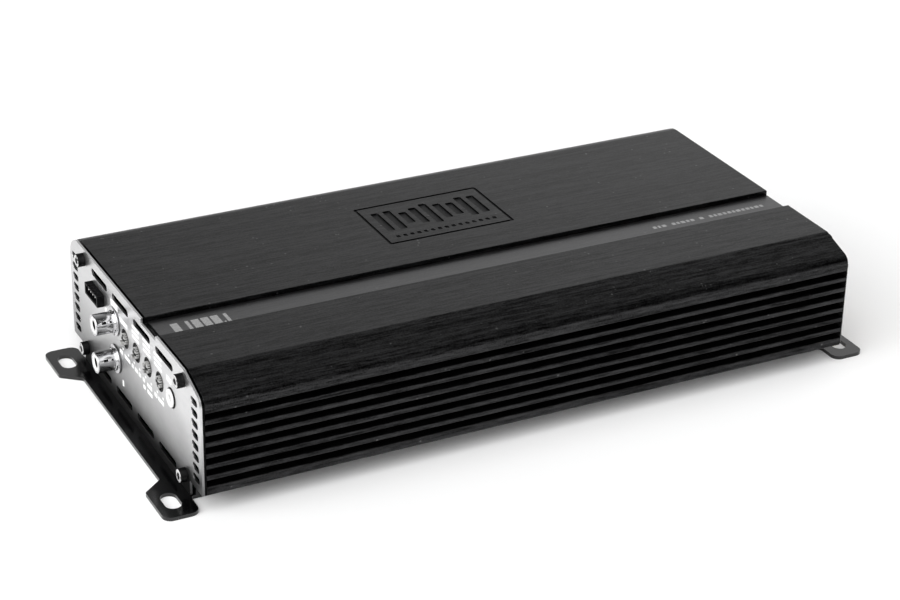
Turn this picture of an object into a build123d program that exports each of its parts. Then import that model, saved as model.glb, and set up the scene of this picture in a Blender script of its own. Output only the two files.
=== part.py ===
from build123d import *
import math
import os

# Car amplifier, millimetres, +Z up, +Y away from the finned front side.
# Origin: centre of the footprint, on the plane the feet stand on.

# ---- body ------------------------------------------------------------------
BODY_W = 144.0
BODY_H = 45.2
SHELL_X0 = -139.0
SHELL_X1 = 141.4
BASE_Z = 8.0
TOP_Z = BASE_Z + BODY_H
HALF_W = BODY_W / 2

SHOULDER_IN = 15.9
SHOULDER_FOOT = 40.0
SHOULDER_R = 3.0
FOOT_R = 5.0
FAR_R = 10.0

# ---- fins ------------------------------------------------------------------
FIN_COUNT = 7
FIN_PITCH = 4.65
GROOVE_H = 2.65
GROOVE_TOP = 34.2
GROOVE_DEPTH = 5.0

# ---- shell inside ----------------------------------------------------------
INNER_HALF = 64.0
CEILING = 40.2
CEILING_HALF = 58.0
CEILING_CUT = 36.0
LIP_H = 4.0
LIP_IN = 55.0

# ---- top channel, strip and badge ------------------------------------------
CHANNEL_Y0 = -27.4
CHANNEL_Y1 = -11.5
CHANNEL_DEPTH = 2.7
STRIP_T = 0.8
STRIP_GAP = 0.1
BADGE_X = 1.0
BADGE_Y = 25.4
BADGE_L = 56.8
BADGE_W = 36.4
BADGE_LINE = 1.2
BADGE_DEPTH = 0.5

# ---- end plates ------------------------------------------------------------
PLATE_T = 0.9
GASKET_T = 1.0
GASKET_IN = 0.5
GASKET_FOOT = 37.0
PLATE_X0 = GASKET_T - SHELL_X0
PLATE_X1 = PLATE_X0 + PLATE_T
END_X0 = SHELL_X1
END_X1 = END_X0 + PLATE_T
END_INSET = 1.2
END_HALF = 71.6
END_CHEEK_LOW = 0.4
END_CHEEK_TOP = 37.0
NOTCH_DEPTH = 2.2
TONGUE_HALF = 59.0
TRAY_DROP = 6.5
VENT_Y = 66.1
VENT_Z0 = 4.7
VENT_PITCH = 4.62
VENT_COUNT = 8
VENT_L = 6.6
VENT_H = 2.9
SLOT_L = 18.2
SLOT_H = 3.0
SLOT_YS = (-36.0, -12.0, 12.0, 36.0)
SLOT_TOP_Z = 39.9
SLOT_LOW_Z = -1.25

# ---- cap screws at the ends ------------------------------------------------
SCREW_Y = 55.0
SCREW_ZS = (BASE_Z + 40.4, BASE_Z + 0.5)
SCREW_R = 1.5
SCREW_HEAD_R = 2.75
SCREW_HEAD_H = 3.0
SCREW_LEN = 12.0
END_HEAD_H = 1.6
SOCKET_AF = 2.5
SOCKET_DEPTH = 1.6
END_SOCKET_DEPTH = 0.9
PORT_R = 1.55
BOSS_TOP_R = 3.4
BOSS_LOW_R = 2.9

# ---- bottom tray and feet --------------------------------------------------
TRAY_T = 1.5
TRAY_HALF = 59.5
TRAY_LIP_HALF = 68.5
TRAY_X0 = SHELL_X0 + 0.2
TRAY_X1 = SHELL_X1 - 0.2
FLANGE_X = 147.2
FOOT_X = 155.3
FOOT_IN_X = 141.1
FOOT_Y = 70.8
FOOT_ROOT_Y = 50.1
FOOT_TAPER_Y = 43.6
FOOT_CORNER = 3.6
FOOT_INSIDE = 1.6
FOOT_SLOT_X = 148.8
FOOT_SLOT_Y = 59.5
FOOT_SLOT_W = 6.4
FOOT_SLOT_L = 11.5
TRAY_SCREW_XS = (-120.0, -40.0, 40.0, 120.0)
TRAY_SCREW_Y = 63.5
TRAY_HEAD_R = 2.8
TRAY_HEAD_H = 1.6
TRAY_SCREW_IN = 3.4

# ---- line inputs -----------------------------------------------------------
RCA_Y = 19.6
RCA_ZS = (20.7, 37.3)
RCA_R = 4.3
RCA_BORE_R = 3.6
RCA_OUT = 8.7
RCA_FLANGE_R = 6.0
RCA_FLANGE_T = 0.8
RCA_CORE_R = 1.65
RCA_CONTACT_R = 2.0
RCA_HOLE_R = 4.6
RCA_BLOCK_HALF = 6.6
RCA_BLOCK_X = -124.0
RCA_BLOCK_TOP = 43.6

# ---- screwdriver controls --------------------------------------------------
POT_Y0 = -30.3
POT_PITCH = 12.6
POT_Z = 35.3
POT_HOLE_R = 3.8
POT_HEAD_R = 2.6
POT_HEAD_OUT = 1.0
POT_HEAD_T = 2.2
POT_SHAFT_R = 1.8
POT_BORE_R = 1.85
POT_BODY = 9.0
POT_BODY_L = 8.0
POT_SLOT_W = 0.8
POT_SLOT_D = 1.0
POT_SLOT_HALF = 1.8
POT_NOTCHES = 18
POT_NOTCH_R = 0.22
POT_NAMES = ("gain_control", "crossover_control", "boost_control", "phase_control")

# ---- remote jack -----------------------------------------------------------
JACK_Y = -42.5
JACK_Z = 34.6
JACK_HOLE_R = 4.2
JACK_BORE_R = 1.3
JACK_SLEEVE_R = 3.0
JACK_NUT_R = 4.0
JACK_NUT_OUT = 1.0
JACK_BODY = 7.2
JACK_BODY_L = 11.0

# ---- high-level header -----------------------------------------------------
HEADER_Y = 38.3
HEADER_Z = 40.8
HEADER_L = 14.7
HEADER_H = 5.0
HEADER_OUT = 3.0
HEADER_IN = 8.0
HEADER_WALL = 0.8
HEADER_DEPTH = 6.0
HEADER_PINS = 5
HEADER_PITCH = 2.54
HEADER_PIN = 0.64

# ---- terminals -------------------------------------------------------------
TERM_OUT = 12.0
TERM_IN = 6.0
TERM_Z0 = 20.0
TERM_Z1 = 41.0
TERM_BORE_Z = 27.5
TERM_SCREW_X = END_X1 + 6.5
TERM_WALL = 1.6
POWER_Y0 = -18.0
POWER_Y1 = 24.0
POWER_YS = (-9.5, 3.0, 15.5)
POWER_RS = (4.2, 2.1, 4.2)
POWER_HALVES = (6.0, 3.6, 6.0)
SPEAKER_Y0 = 29.0
SPEAKER_Y1 = 53.0
SPEAKER_YS = (35.5, 46.5)
SPEAKER_RS = (2.8, 2.8)
SPEAKER_HALVES = (4.3, 4.3)
BARREL_H = 11.4
CLAMP_R = 2.4
CLAMP_LEN = 6.0
CLAMP_SLOT_W = 0.9
CLAMP_SLOT_D = 1.1

# ---- fuses -----------------------------------------------------------------
FUSE_YS = (-44.0, -32.0)
FUSE_Z = 30.5
FUSE_BODY_H = 19.0
FUSE_BODY_T = 5.0
FUSE_BODY_L = 9.0
FUSE_BLADE_H = 5.2
FUSE_BLADE_T = 0.7
FUSE_BLADE_L = 7.5
FUSE_BLADE_Z = 6.1
FUSE_GAP = 0.15
HOLDER_Y0 = -50.5
HOLDER_Y1 = -25.5
HOLDER_Z0 = 18.5
HOLDER_Z1 = 42.5
HOLDER_OUT = 3.0
HOLDER_IN = 12.0
CLIP_H = 5.6
CLIP_LEG_T = 0.6

# ---- status lamp -----------------------------------------------------------
LED_Y = 0.0
LED_Z = 44.4
LED_R = 1.25

# ---- boards ----------------------------------------------------------------
BOARD_Z = BASE_Z + LIP_H
BOARD_T = 1.6
BOARD_HALF_Y = 63.4
BOARD_HALF_X = 137.0
BOARD_TOP = BOARD_Z + BOARD_T
BOARD_SCREW_XS = (-110.0, 0.0, 110.0)
BOARD_SCREW_Y = 60.0
PREAMP_TOP = 31.0
PREAMP_T = 1.6
PREAMP_X0 = -137.6
PREAMP_X1 = -98.0
PREAMP_HALF_Y = 50.0
PREAMP_POSTS = ((-128.0, -36.5), (-128.0, 30.0), (-102.0, -46.0), (-102.0, 46.0))
POST_R = 2.5

# ---- power parts on the main board -----------------------------------------
XFMR = {"x": -52.0, "y": 0.0, "outer": 24.0, "inner": 10.0, "h": 18.0, "wire": 2.0}
COIL = {"x": 62.0, "y": 6.0, "outer": 18.0, "inner": 7.5, "h": 14.0, "wire": 1.6}
WINDING_GAP = 0.05
WINDING_SWEEP = 320.0
CAP_R = 9.0
CAP_H = 31.0
CAP_XS = (-12.0, 8.0, 28.0)
CAP_YS = (-22.0, 22.0)
CAP_GROOVE_Z = 3.0
CAP_GROOVE_R = 0.8

FET_XS = (-80.0, -62.0, -44.0, 44.0, 62.0, 80.0)
FET_W = 10.2
FET_H = 15.0
FET_T = 4.5
FET_Z = 21.0
FET_LEG = 0.8
FET_LEG_PITCH = 2.54
PAD_T = 0.4
BAR_XS = (-62.0, 62.0)
BAR_L = 52.0
BAR_H = 7.0
BAR_T = 2.0
BAR_Z = 29.25
CLAMP_SCREW_OFFSETS = (-9.0, 9.0)
CLAMP_SCREW_IN = 2.4


# ---- helpers ---------------------------------------------------------------
def block(x0, x1, y0, y1, z0, z1):
    centre = ((x0 + x1) / 2, (y0 + y1) / 2, (z0 + z1) / 2)
    return Pos(*centre) * Box(abs(x1 - x0), abs(y1 - y0), abs(z1 - z0))


def rod_x(x0, x1, y, z, r):
    return Pos((x0 + x1) / 2, y, z) * Rot(0, 90, 0) * Cylinder(r, abs(x1 - x0))


def rod_y(x, y0, y1, z, r):
    return Pos(x, (y0 + y1) / 2, z) * Rot(90, 0, 0) * Cylinder(r, abs(y1 - y0))


def rod_z(x, y, z0, z1, r):
    return Pos(x, y, (z0 + z1) / 2) * Cylinder(r, z1 - z0)


def sweep_x(face, x0, x1):
    return Pos(x0, 0, 0) * extrude(Plane.YZ * face, amount=x1 - x0, dir=(1, 0, 0))


def prism_x(points, x0, x1):
    return sweep_x(make_face(Polyline(*points, close=True)), x0, x1)


def round_slot_x(x0, x1, y, z, length, height):
    return sweep_x(Pos(y, z) * SlotOverall(length, height), x0, x1)


def ring_x(x0, x1, y, z, r_out, r_in):
    return rod_x(x0, x1, y, z, r_out) - rod_x(x0, x1, y, z, r_in)


def save(name, shapes):
    solids = []
    for shape in shapes:
        solids.extend(shape.solids())
    export_step(Compound(solids), os.path.join("parts", name + ".step"))


# ---- outline shared by the shell and the end plates ------------------------
def outline(channel_depth, tongue):
    foot = BASE_Z + SHOULDER_FOOT
    crease = SHOULDER_IN - HALF_W
    points = [(-HALF_W, BASE_Z), (-HALF_W, foot), (crease, TOP_Z)]
    points += [(CHANNEL_Y0, TOP_Z), (CHANNEL_Y0, TOP_Z - channel_depth)]
    points += [(CHANNEL_Y1, TOP_Z - channel_depth), (CHANNEL_Y1, TOP_Z)]
    points += [(HALF_W, TOP_Z), (HALF_W, BASE_Z)]
    if tongue:
        low = BASE_Z - TRAY_DROP
        points += [(TONGUE_HALF, BASE_Z), (TONGUE_HALF, low)]
        points += [(-TONGUE_HALF, low), (-TONGUE_HALF, BASE_Z)]
    face = make_face(Polyline(*points, close=True))
    for y, z, r in ((-HALF_W, foot, FOOT_R), (crease, TOP_Z, SHOULDER_R), (HALF_W, TOP_Z, FAR_R)):
        face = fillet([v for v in face.vertices() if math.hypot(v.X - y, v.Y - z) < 0.01], r)
    return face


# ---- shell -----------------------------------------------------------------
def make_shell():
    body = sweep_x(outline(CHANNEL_DEPTH, False), SHELL_X0, SHELL_X1)
    cavity = [(-INNER_HALF, BASE_Z + LIP_H), (-INNER_HALF, BASE_Z + CEILING_CUT)]
    cavity += [(-CEILING_HALF, BASE_Z + CEILING), (CEILING_HALF, BASE_Z + CEILING)]
    cavity += [(INNER_HALF, BASE_Z + CEILING_CUT), (INNER_HALF, BASE_Z + LIP_H)]
    cavity += [(LIP_IN, BASE_Z + LIP_H), (LIP_IN, BASE_Z - 1)]
    cavity += [(-LIP_IN, BASE_Z - 1), (-LIP_IN, BASE_Z + LIP_H)]
    body -= prism_x(cavity, SHELL_X0, SHELL_X1)
    for side in (-1, 1):
        for i in range(FIN_COUNT):
            z1 = BASE_Z + GROOVE_TOP - i * FIN_PITCH
            y_in = side * (HALF_W - GROOVE_DEPTH)
            body -= block(SHELL_X0, SHELL_X1, y_in, side * (HALF_W + 1), z1 - GROOVE_H, z1)
        for z, r in zip(SCREW_ZS, (BOSS_TOP_R, BOSS_LOW_R)):
            body += rod_x(SHELL_X0, SHELL_X1, side * SCREW_Y, z, r)
        for z in SCREW_ZS:
            body -= rod_x(SHELL_X0, SHELL_X1, side * SCREW_Y, z, PORT_R)
        for x in TRAY_SCREW_XS:
            body -= rod_z(x, side * TRAY_SCREW_Y, BASE_Z, BASE_Z + TRAY_SCREW_IN + 0.2, PORT_R)
        for bar_x in BAR_XS:
            for dx in CLAMP_SCREW_OFFSETS:
                y_end = side * (INNER_HALF + CLAMP_SCREW_IN + 0.2)
                body -= rod_y(bar_x + dx, side * INNER_HALF, y_end, BAR_Z, PORT_R)
        for x in BOARD_SCREW_XS:
            body -= rod_z(x, side * BOARD_SCREW_Y, BOARD_Z - 3.0, BOARD_Z, PORT_R)
    floor = TOP_Z - BADGE_DEPTH
    frame = Pos(BADGE_X, BADGE_Y, floor) * extrude(Rectangle(BADGE_L, BADGE_W), BADGE_DEPTH)
    inside = Rectangle(BADGE_L - 2 * BADGE_LINE, BADGE_W - 2 * BADGE_LINE)
    frame -= Pos(BADGE_X, BADGE_Y, floor) * extrude(inside, BADGE_DEPTH)
    return body - frame


# ---- end plates and gaskets ------------------------------------------------
def plate_holes(x0, x1):
    cuts = []
    for y in SLOT_YS:
        for z in (SLOT_TOP_Z, SLOT_LOW_Z):
            cuts.append(round_slot_x(x0, x1, y, BASE_Z + z, SLOT_L, SLOT_H))
    for side in (-1, 1):
        for z in SCREW_ZS:
            cuts.append(rod_x(x0, x1, side * SCREW_Y, z, SCREW_R + 0.1))
    return cuts


def side_vents(x0, x1):
    cuts = []
    for side in (-1, 1):
        for i in range(VENT_COUNT):
            z = BASE_Z + VENT_Z0 + i * VENT_PITCH
            cuts.append(round_slot_x(x0, x1, side * VENT_Y, z, VENT_L, VENT_H))
    return cuts


def make_control_plate():
    x0, x1 = -PLATE_X1, -PLATE_X0
    plate = sweep_x(outline(NOTCH_DEPTH, True), x0, x1)
    for cut in plate_holes(x0, x1) + side_vents(x0, x1) + control_cuts():
        plate -= cut
    return plate


def make_terminal_plate():
    face = offset(outline(NOTCH_DEPTH, True), amount=-END_INSET, kind=Kind.INTERSECTION)
    plate = sweep_x(face, END_X0, END_X1)
    low, high = BASE_Z + END_CHEEK_LOW, BASE_Z + END_CHEEK_TOP
    plate += block(END_X0, END_X1, -END_HALF, END_HALF, low, high)
    for cut in plate_holes(END_X0, END_X1) + terminal_cuts():
        plate -= cut
    return plate


def make_gasket():
    x0, x1 = -PLATE_X0, SHELL_X0
    top = TOP_Z - CHANNEL_DEPTH
    crease = HALF_W - SHOULDER_IN
    edge = HALF_W - GASKET_IN
    foot = BASE_Z + GASKET_FOOT
    outer = [(-edge, BASE_Z), (-edge, foot), (-crease, top), (crease, top), (edge, foot), (edge, BASE_Z)]
    inner_top = BASE_Z + CEILING
    inner = [(-INNER_HALF, BASE_Z), (-INNER_HALF, BASE_Z + CEILING_CUT), (-SCREW_Y, inner_top)]
    inner += [(SCREW_Y, inner_top), (INNER_HALF, BASE_Z + CEILING_CUT), (INNER_HALF, BASE_Z)]
    ring = prism_x(outer, x0, x1) - prism_x(inner, x0, x1)
    for y in (-SCREW_Y, SCREW_Y):
        ring -= rod_x(x0, x1, y, SCREW_ZS[0], SCREW_R + 0.3)
    for y in (-VENT_Y, VENT_Y):
        ring -= block(x0, x1, y - VENT_L / 2, y + VENT_L / 2, BASE_Z + 3, BASE_Z + CEILING_CUT + 1)
    return ring


def control_cuts():
    x0, x1 = -PLATE_X1, -PLATE_X0
    cuts = [rod_x(x0, x1, RCA_Y, z, RCA_HOLE_R) for z in RCA_ZS]
    for i in range(len(POT_NAMES)):
        cuts.append(rod_x(x0, x1, POT_Y0 + i * POT_PITCH, POT_Z, POT_HOLE_R))
    cuts.append(rod_x(x0, x1, JACK_Y, JACK_Z, JACK_HOLE_R))
    half_l = HEADER_L / 2 + 0.1
    half_h = HEADER_H / 2 + 0.1
    y0, y1 = HEADER_Y - half_l, HEADER_Y + half_l
    cuts.append(block(x0, x1, y0, y1, HEADER_Z - half_h, HEADER_Z + half_h))
    return cuts


def terminal_cuts():
    x0, x1 = END_X0, END_X1
    cuts = [block(x0, x1, POWER_Y0 - 0.1, POWER_Y1 + 0.1, TERM_Z0 - 0.1, TERM_Z1 + 0.1)]
    cuts.append(block(x0, x1, SPEAKER_Y0 - 0.1, SPEAKER_Y1 + 0.1, TERM_Z0 - 0.1, TERM_Z1 + 0.1))
    cuts.append(block(x0, x1, HOLDER_Y0 - 0.1, HOLDER_Y1 + 0.1, HOLDER_Z0 - 0.1, HOLDER_Z1 + 0.1))
    cuts.append(rod_x(x0, x1, LED_Y, LED_Z, LED_R + 0.05))
    return cuts


# ---- screws ----------------------------------------------------------------
def cap_screw(side, x_seat, head_h, depth, y, z):
    x_top = x_seat + side * head_h
    x_tip = x_seat - side * SCREW_LEN
    screw = rod_x(x_seat, x_top, y, z, SCREW_HEAD_R) + rod_x(x_tip, x_seat, y, z, SCREW_R)
    hexagon = Pos(y, z) * RegularPolygon(SOCKET_AF / math.sqrt(3), 6)
    x_low = min(x_top, x_top - side * depth)
    return screw - sweep_x(hexagon, x_low, x_low + depth)


def cap_screws(side, x_seat, head_h, depth):
    return [cap_screw(side, x_seat, head_h, depth, s * SCREW_Y, z) for s in (-1, 1) for z in SCREW_ZS]


def tray_screw(x, y):
    seat = BASE_Z - TRAY_T
    screw = rod_z(x, y, seat - TRAY_HEAD_H, seat, TRAY_HEAD_R)
    screw += rod_z(x, y, seat, BASE_Z + TRAY_SCREW_IN, SCREW_R)
    for turn in (0, 90):
        slot = Pos(x, y, seat - TRAY_HEAD_H + 0.5) * Rot(0, 0, turn) * Box(3.4, 0.8, 1.0)
        screw -= slot
    return screw


def board_screw(x, y):
    screw = rod_z(x, y, BOARD_TOP, BOARD_TOP + 1.8, TRAY_HEAD_R)
    screw += rod_z(x, y, BOARD_Z - 2.8, BOARD_TOP, SCREW_R)
    return screw - Pos(x, y, BOARD_TOP + 1.5) * Box(4.0, 0.8, 1.0)


# ---- tray ------------------------------------------------------------------
def tray_floor():
    face = Rectangle(2 * FLANGE_X, 2 * TRAY_HALF)
    for end in (-1, 1):
        for side in (-1, 1):
            points = [(FOOT_IN_X, FOOT_TAPER_Y), (FOOT_IN_X, FOOT_Y), (FOOT_X, FOOT_Y)]
            points += [(FOOT_X, FOOT_ROOT_Y), (FLANGE_X, FOOT_TAPER_Y)]
            points = [(end * x, side * y) for x, y in points]
            face += make_face(Polyline(*points, close=True))
    face = fillet(corners(face, FOOT_Y), FOOT_CORNER)
    face = fillet(corners(face, FOOT_ROOT_Y), FOOT_INSIDE)
    face = fillet(corners(face, FOOT_TAPER_Y), FOOT_INSIDE)
    face = fillet(corners(face, TRAY_HALF), FOOT_INSIDE)
    for x in (-FOOT_SLOT_X, FOOT_SLOT_X):
        for y in (-FOOT_SLOT_Y, FOOT_SLOT_Y):
            face -= Pos(x, y) * Rot(0, 0, 90) * SlotOverall(FOOT_SLOT_L, FOOT_SLOT_W)
    return extrude(face, TRAY_T)


def corners(face, y):
    return [v for v in face.vertices() if abs(abs(v.Y) - y) < 0.01]


def make_tray():
    tray = tray_floor()
    for side in (-1, 1):
        y_in = side * (TRAY_HALF - TRAY_T)
        tray += block(TRAY_X0, TRAY_X1, y_in, side * TRAY_HALF, 0, BASE_Z)
        tray += block(TRAY_X0, TRAY_X1, y_in, side * TRAY_LIP_HALF, BASE_Z - TRAY_T, BASE_Z)
        for x in TRAY_SCREW_XS:
            tray -= rod_z(x, side * TRAY_SCREW_Y, BASE_Z - TRAY_T, BASE_Z, SCREW_R + 0.2)
    return tray


# ---- control end -----------------------------------------------------------
def rca_shell(z):
    x_front = -PLATE_X1 - RCA_OUT
    shell = ring_x(x_front, SHELL_X0, RCA_Y, z, RCA_R, RCA_BORE_R)
    return shell + ring_x(-PLATE_X1 - RCA_FLANGE_T, -PLATE_X1, RCA_Y, z, RCA_FLANGE_R, RCA_BORE_R)


def rca_insulator(z):
    x_front = -PLATE_X1 - RCA_OUT + 0.4
    return ring_x(x_front, SHELL_X0, RCA_Y, z, RCA_BORE_R, RCA_CONTACT_R)


def rca_contact(z):
    x_front = -PLATE_X1 - RCA_OUT + 1.0
    return ring_x(x_front, SHELL_X0, RCA_Y, z, RCA_CONTACT_R, RCA_CORE_R)


def make_rca_block():
    y0, y1 = RCA_Y - RCA_BLOCK_HALF, RCA_Y + RCA_BLOCK_HALF
    body = block(SHELL_X0, RCA_BLOCK_X, y0, y1, BOARD_TOP, RCA_BLOCK_TOP)
    for z in RCA_ZS:
        body -= rod_x(SHELL_X0, SHELL_X0 + 8.0, RCA_Y, z, RCA_CORE_R)
    return body


def pot_rotor(y):
    x0 = -PLATE_X1 - POT_HEAD_OUT
    x1 = x0 + POT_HEAD_T
    head = rod_x(x0, x1, y, POT_Z, POT_HEAD_R)
    for i in range(POT_NOTCHES):
        a = 2 * math.pi * i / POT_NOTCHES
        ny = y + POT_HEAD_R * math.cos(a)
        nz = POT_Z + POT_HEAD_R * math.sin(a)
        head -= rod_x(x0, x1, ny, nz, POT_NOTCH_R)
    x_low = x0 + POT_SLOT_D
    half = POT_SLOT_W / 2
    head -= block(x0, x_low, y - POT_SLOT_HALF, y + POT_SLOT_HALF, POT_Z - half, POT_Z + half)
    head -= block(x0, x_low, y - half, y + half, POT_Z, POT_Z + POT_SLOT_HALF)
    return head + rod_x(x1, x1 + 7.0, y, POT_Z, POT_SHAFT_R)


def pot_body(y):
    x0 = -PLATE_X1 - POT_HEAD_OUT + POT_HEAD_T + 0.3
    half = POT_BODY / 2
    body = block(x0, x0 + POT_BODY_L, y - half, y + half, PREAMP_TOP, POT_Z + half)
    return body - rod_x(x0, x0 + POT_BODY_L - 1.0, y, POT_Z, POT_BORE_R)


def make_jack():
    x0 = -PLATE_X1 - JACK_NUT_OUT
    x1 = SHELL_X0
    half = JACK_BODY / 2
    jack = rod_x(x0, x1, JACK_Y, JACK_Z, JACK_SLEEVE_R)
    y0, y1 = JACK_Y - half, JACK_Y + half
    jack += block(x1, x1 + JACK_BODY_L, y0, y1, PREAMP_TOP, JACK_Z + half)
    return jack - rod_x(x0, x1 + 9.0, JACK_Y, JACK_Z, JACK_BORE_R)


def make_jack_nut():
    x0 = -PLATE_X1 - JACK_NUT_OUT
    return ring_x(x0, SHELL_X0, JACK_Y, JACK_Z, JACK_NUT_R, JACK_SLEEVE_R + 0.02)


def make_header():
    x0 = -PLATE_X1 - HEADER_OUT
    x1 = SHELL_X0 + HEADER_IN
    half_l = HEADER_L / 2
    half_h = HEADER_H / 2
    y0, y1 = HEADER_Y - half_l, HEADER_Y + half_l
    body = block(x0, x1, y0, y1, HEADER_Z - half_h, HEADER_Z + half_h)
    body += block(SHELL_X0, x1, y0, y1, PREAMP_TOP, HEADER_Z)
    w = HEADER_WALL
    z0, z1 = HEADER_Z - half_h + w, HEADER_Z + half_h - w
    body -= block(x0, x0 + HEADER_DEPTH, y0 + w, y1 - w, z0, z1)
    for y in header_pin_ys():
        hole = HEADER_PIN + 0.02
        body -= Pos((x0 + HEADER_DEPTH + x1) / 2, y, HEADER_Z) * Box(x1 - x0 - HEADER_DEPTH, hole, hole)
    return body


def header_pin_ys():
    first = HEADER_Y - HEADER_PITCH * (HEADER_PINS - 1) / 2
    return [first + i * HEADER_PITCH for i in range(HEADER_PINS)]


def header_pin(y):
    x0 = -PLATE_X1 - HEADER_OUT + 0.8
    x1 = SHELL_X0 + HEADER_IN + 1.5
    pin = HEADER_PIN
    bar = block(x0, x1, y - pin / 2, y + pin / 2, HEADER_Z - pin / 2, HEADER_Z + pin / 2)
    return bar + block(x1 - pin, x1, y - pin / 2, y + pin / 2, PREAMP_TOP, HEADER_Z)


# ---- terminal end ----------------------------------------------------------
def housing(y0, y1, ys, radii, halves):
    x0, x1 = END_X0 - TERM_IN, END_X1 + TERM_OUT
    body = block(x0, x1, y0, y1, TERM_Z0, TERM_Z1)
    for y, r, half in zip(ys, radii, halves):
        pocket = half + 0.05
        body -= block(x0, x1 - TERM_WALL, y - pocket, y + pocket, *barrel_zs(0.05))
        body -= rod_x(x1 - TERM_WALL, x1, y, TERM_BORE_Z, r + 0.4)
        body -= rod_z(TERM_SCREW_X, y, TERM_BORE_Z, TERM_Z1, CLAMP_R + 0.3)
    return body


def barrel_zs(gap):
    return TERM_BORE_Z - 5.2 - gap, TERM_BORE_Z - 5.2 + BARREL_H + gap


def barrel(y, r, half):
    x0, x1 = END_X0 - TERM_IN, END_X1 + TERM_OUT - TERM_WALL - 0.1
    z0, z1 = barrel_zs(0)
    body = block(x0, x1, y - half, y + half, z0, z1)
    body -= rod_x(x0 + 1.5, x1, y, TERM_BORE_Z, r)
    return body - rod_z(TERM_SCREW_X, y, TERM_BORE_Z, z1, CLAMP_R + 0.03)


def clamp_grub(y, r):
    z0 = TERM_BORE_Z + r + 0.1
    screw = rod_z(TERM_SCREW_X, y, z0, z0 + CLAMP_LEN, CLAMP_R)
    top = z0 + CLAMP_LEN
    return screw - Pos(TERM_SCREW_X, y, top - CLAMP_SLOT_D / 2) * Box(6.0, CLAMP_SLOT_W, CLAMP_SLOT_D)


def make_holder():
    x0, x1 = END_X0 - HOLDER_IN, END_X1 + HOLDER_OUT
    body = block(x0, x1, HOLDER_Y0, HOLDER_Y1, HOLDER_Z0, HOLDER_Z1)
    g = FUSE_GAP
    for y in FUSE_YS:
        half_t = FUSE_BODY_T / 2 + g
        half_h = FUSE_BODY_H / 2 + g
        body -= block(END_X1, x1, y - half_t, y + half_t, FUSE_Z - half_h, FUSE_Z + half_h)
        for z in (FUSE_Z - FUSE_BLADE_Z, FUSE_Z + FUSE_BLADE_Z):
            half = CLIP_H / 2 + 0.05
            body -= block(x0, END_X1, y - 1.6, y + 1.6, z - half, z + half)
    return body


def fuse_clip(y, z):
    half = CLIP_H / 2
    x0, x1 = END_X0 - HOLDER_IN + 1.0, END_X1 - 0.2
    inner = FUSE_BLADE_T / 2 + FUSE_GAP
    clip = block(x0, x1, y - inner - CLIP_LEG_T, y + inner + CLIP_LEG_T, z - half, z + half)
    return clip - block(x0 + 1.0, x1, y - inner, y + inner, z - half, z + half)


def blade_fuse(y):
    x0 = END_X1 + 0.2
    half_t = FUSE_BODY_T / 2
    half_h = FUSE_BODY_H / 2
    body = block(x0, x0 + FUSE_BODY_L, y - half_t, y + half_t, FUSE_Z - half_h, FUSE_Z + half_h)
    upright = [e for e in body.edges() if abs(e.center().X - x0 - FUSE_BODY_L) < 0.01]
    body = fillet(upright, 0.8)
    for z in (FUSE_Z - FUSE_BLADE_Z, FUSE_Z + FUSE_BLADE_Z):
        t = FUSE_BLADE_T / 2
        h = FUSE_BLADE_H / 2
        body += block(x0 - FUSE_BLADE_L, x0, y - t, y + t, z - h, z + h)
    return body


def make_led():
    lamp = rod_x(END_X0 - 3.0, END_X1 + 0.6, LED_Y, LED_Z, LED_R)
    return lamp + rod_x(END_X0 - 3.0, END_X0, LED_Y, LED_Z, LED_R + 0.6)


# ---- boards and inner parts ------------------------------------------------
def make_main_board():
    board = block(-BOARD_HALF_X, BOARD_HALF_X, -BOARD_HALF_Y, BOARD_HALF_Y, BOARD_Z, BOARD_TOP)
    for x in BOARD_SCREW_XS:
        for y in (-BOARD_SCREW_Y, BOARD_SCREW_Y):
            board -= rod_z(x, y, BOARD_Z, BOARD_TOP, SCREW_R + 0.1)
    return board


def make_preamp_board():
    z0 = PREAMP_TOP - PREAMP_T
    board = block(PREAMP_X0, PREAMP_X1, -PREAMP_HALF_Y, PREAMP_HALF_Y, z0, PREAMP_TOP)
    half = RCA_BLOCK_HALF + 0.5
    return board - block(PREAMP_X0, RCA_BLOCK_X + 0.5, RCA_Y - half, RCA_Y + half, z0, PREAMP_TOP)


def toroid_core(p):
    z0 = BOARD_TOP + p["wire"]
    ring = rod_z(p["x"], p["y"], z0, z0 + p["h"], p["outer"])
    return ring - rod_z(p["x"], p["y"], z0, z0 + p["h"], p["inner"])


def toroid_winding(p):
    g = WINDING_GAP
    t = p["wire"]
    z0 = BOARD_TOP
    z1 = BOARD_TOP + 2 * t + p["h"]
    around = Pos((p["inner"] + p["outer"]) / 2, (z0 + z1) / 2)
    outside = around * Rectangle(p["outer"] - p["inner"] + 2 * t, z1 - z0)
    inside = around * Rectangle(p["outer"] - p["inner"] + 2 * g, p["h"] + 2 * g)
    section = Plane.XZ * (outside - inside)
    return Pos(p["x"], p["y"], 0) * revolve(section, Axis.Z, WINDING_SWEEP)


def capacitor(x, y):
    can = rod_z(x, y, BOARD_TOP, BOARD_TOP + CAP_H, CAP_R)
    groove = Pos(x, y, BOARD_TOP + CAP_GROOVE_Z) * Torus(CAP_R + 0.2, CAP_GROOVE_R)
    return can - groove


def transistor(x, side):
    wall = side * (INNER_HALF - PAD_T)
    front = wall - side * FET_T
    half = FET_W / 2
    z1 = FET_Z + FET_H
    body = block(x - half, x + half, wall, front, FET_Z, z1)
    mid = (wall + front) / 2
    leg = FET_LEG / 2
    for i in (-1, 0, 1):
        lx = x + i * FET_LEG_PITCH
        body += block(lx - leg, lx + leg, mid - leg, mid + leg, BOARD_TOP, FET_Z)
    return body


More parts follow.
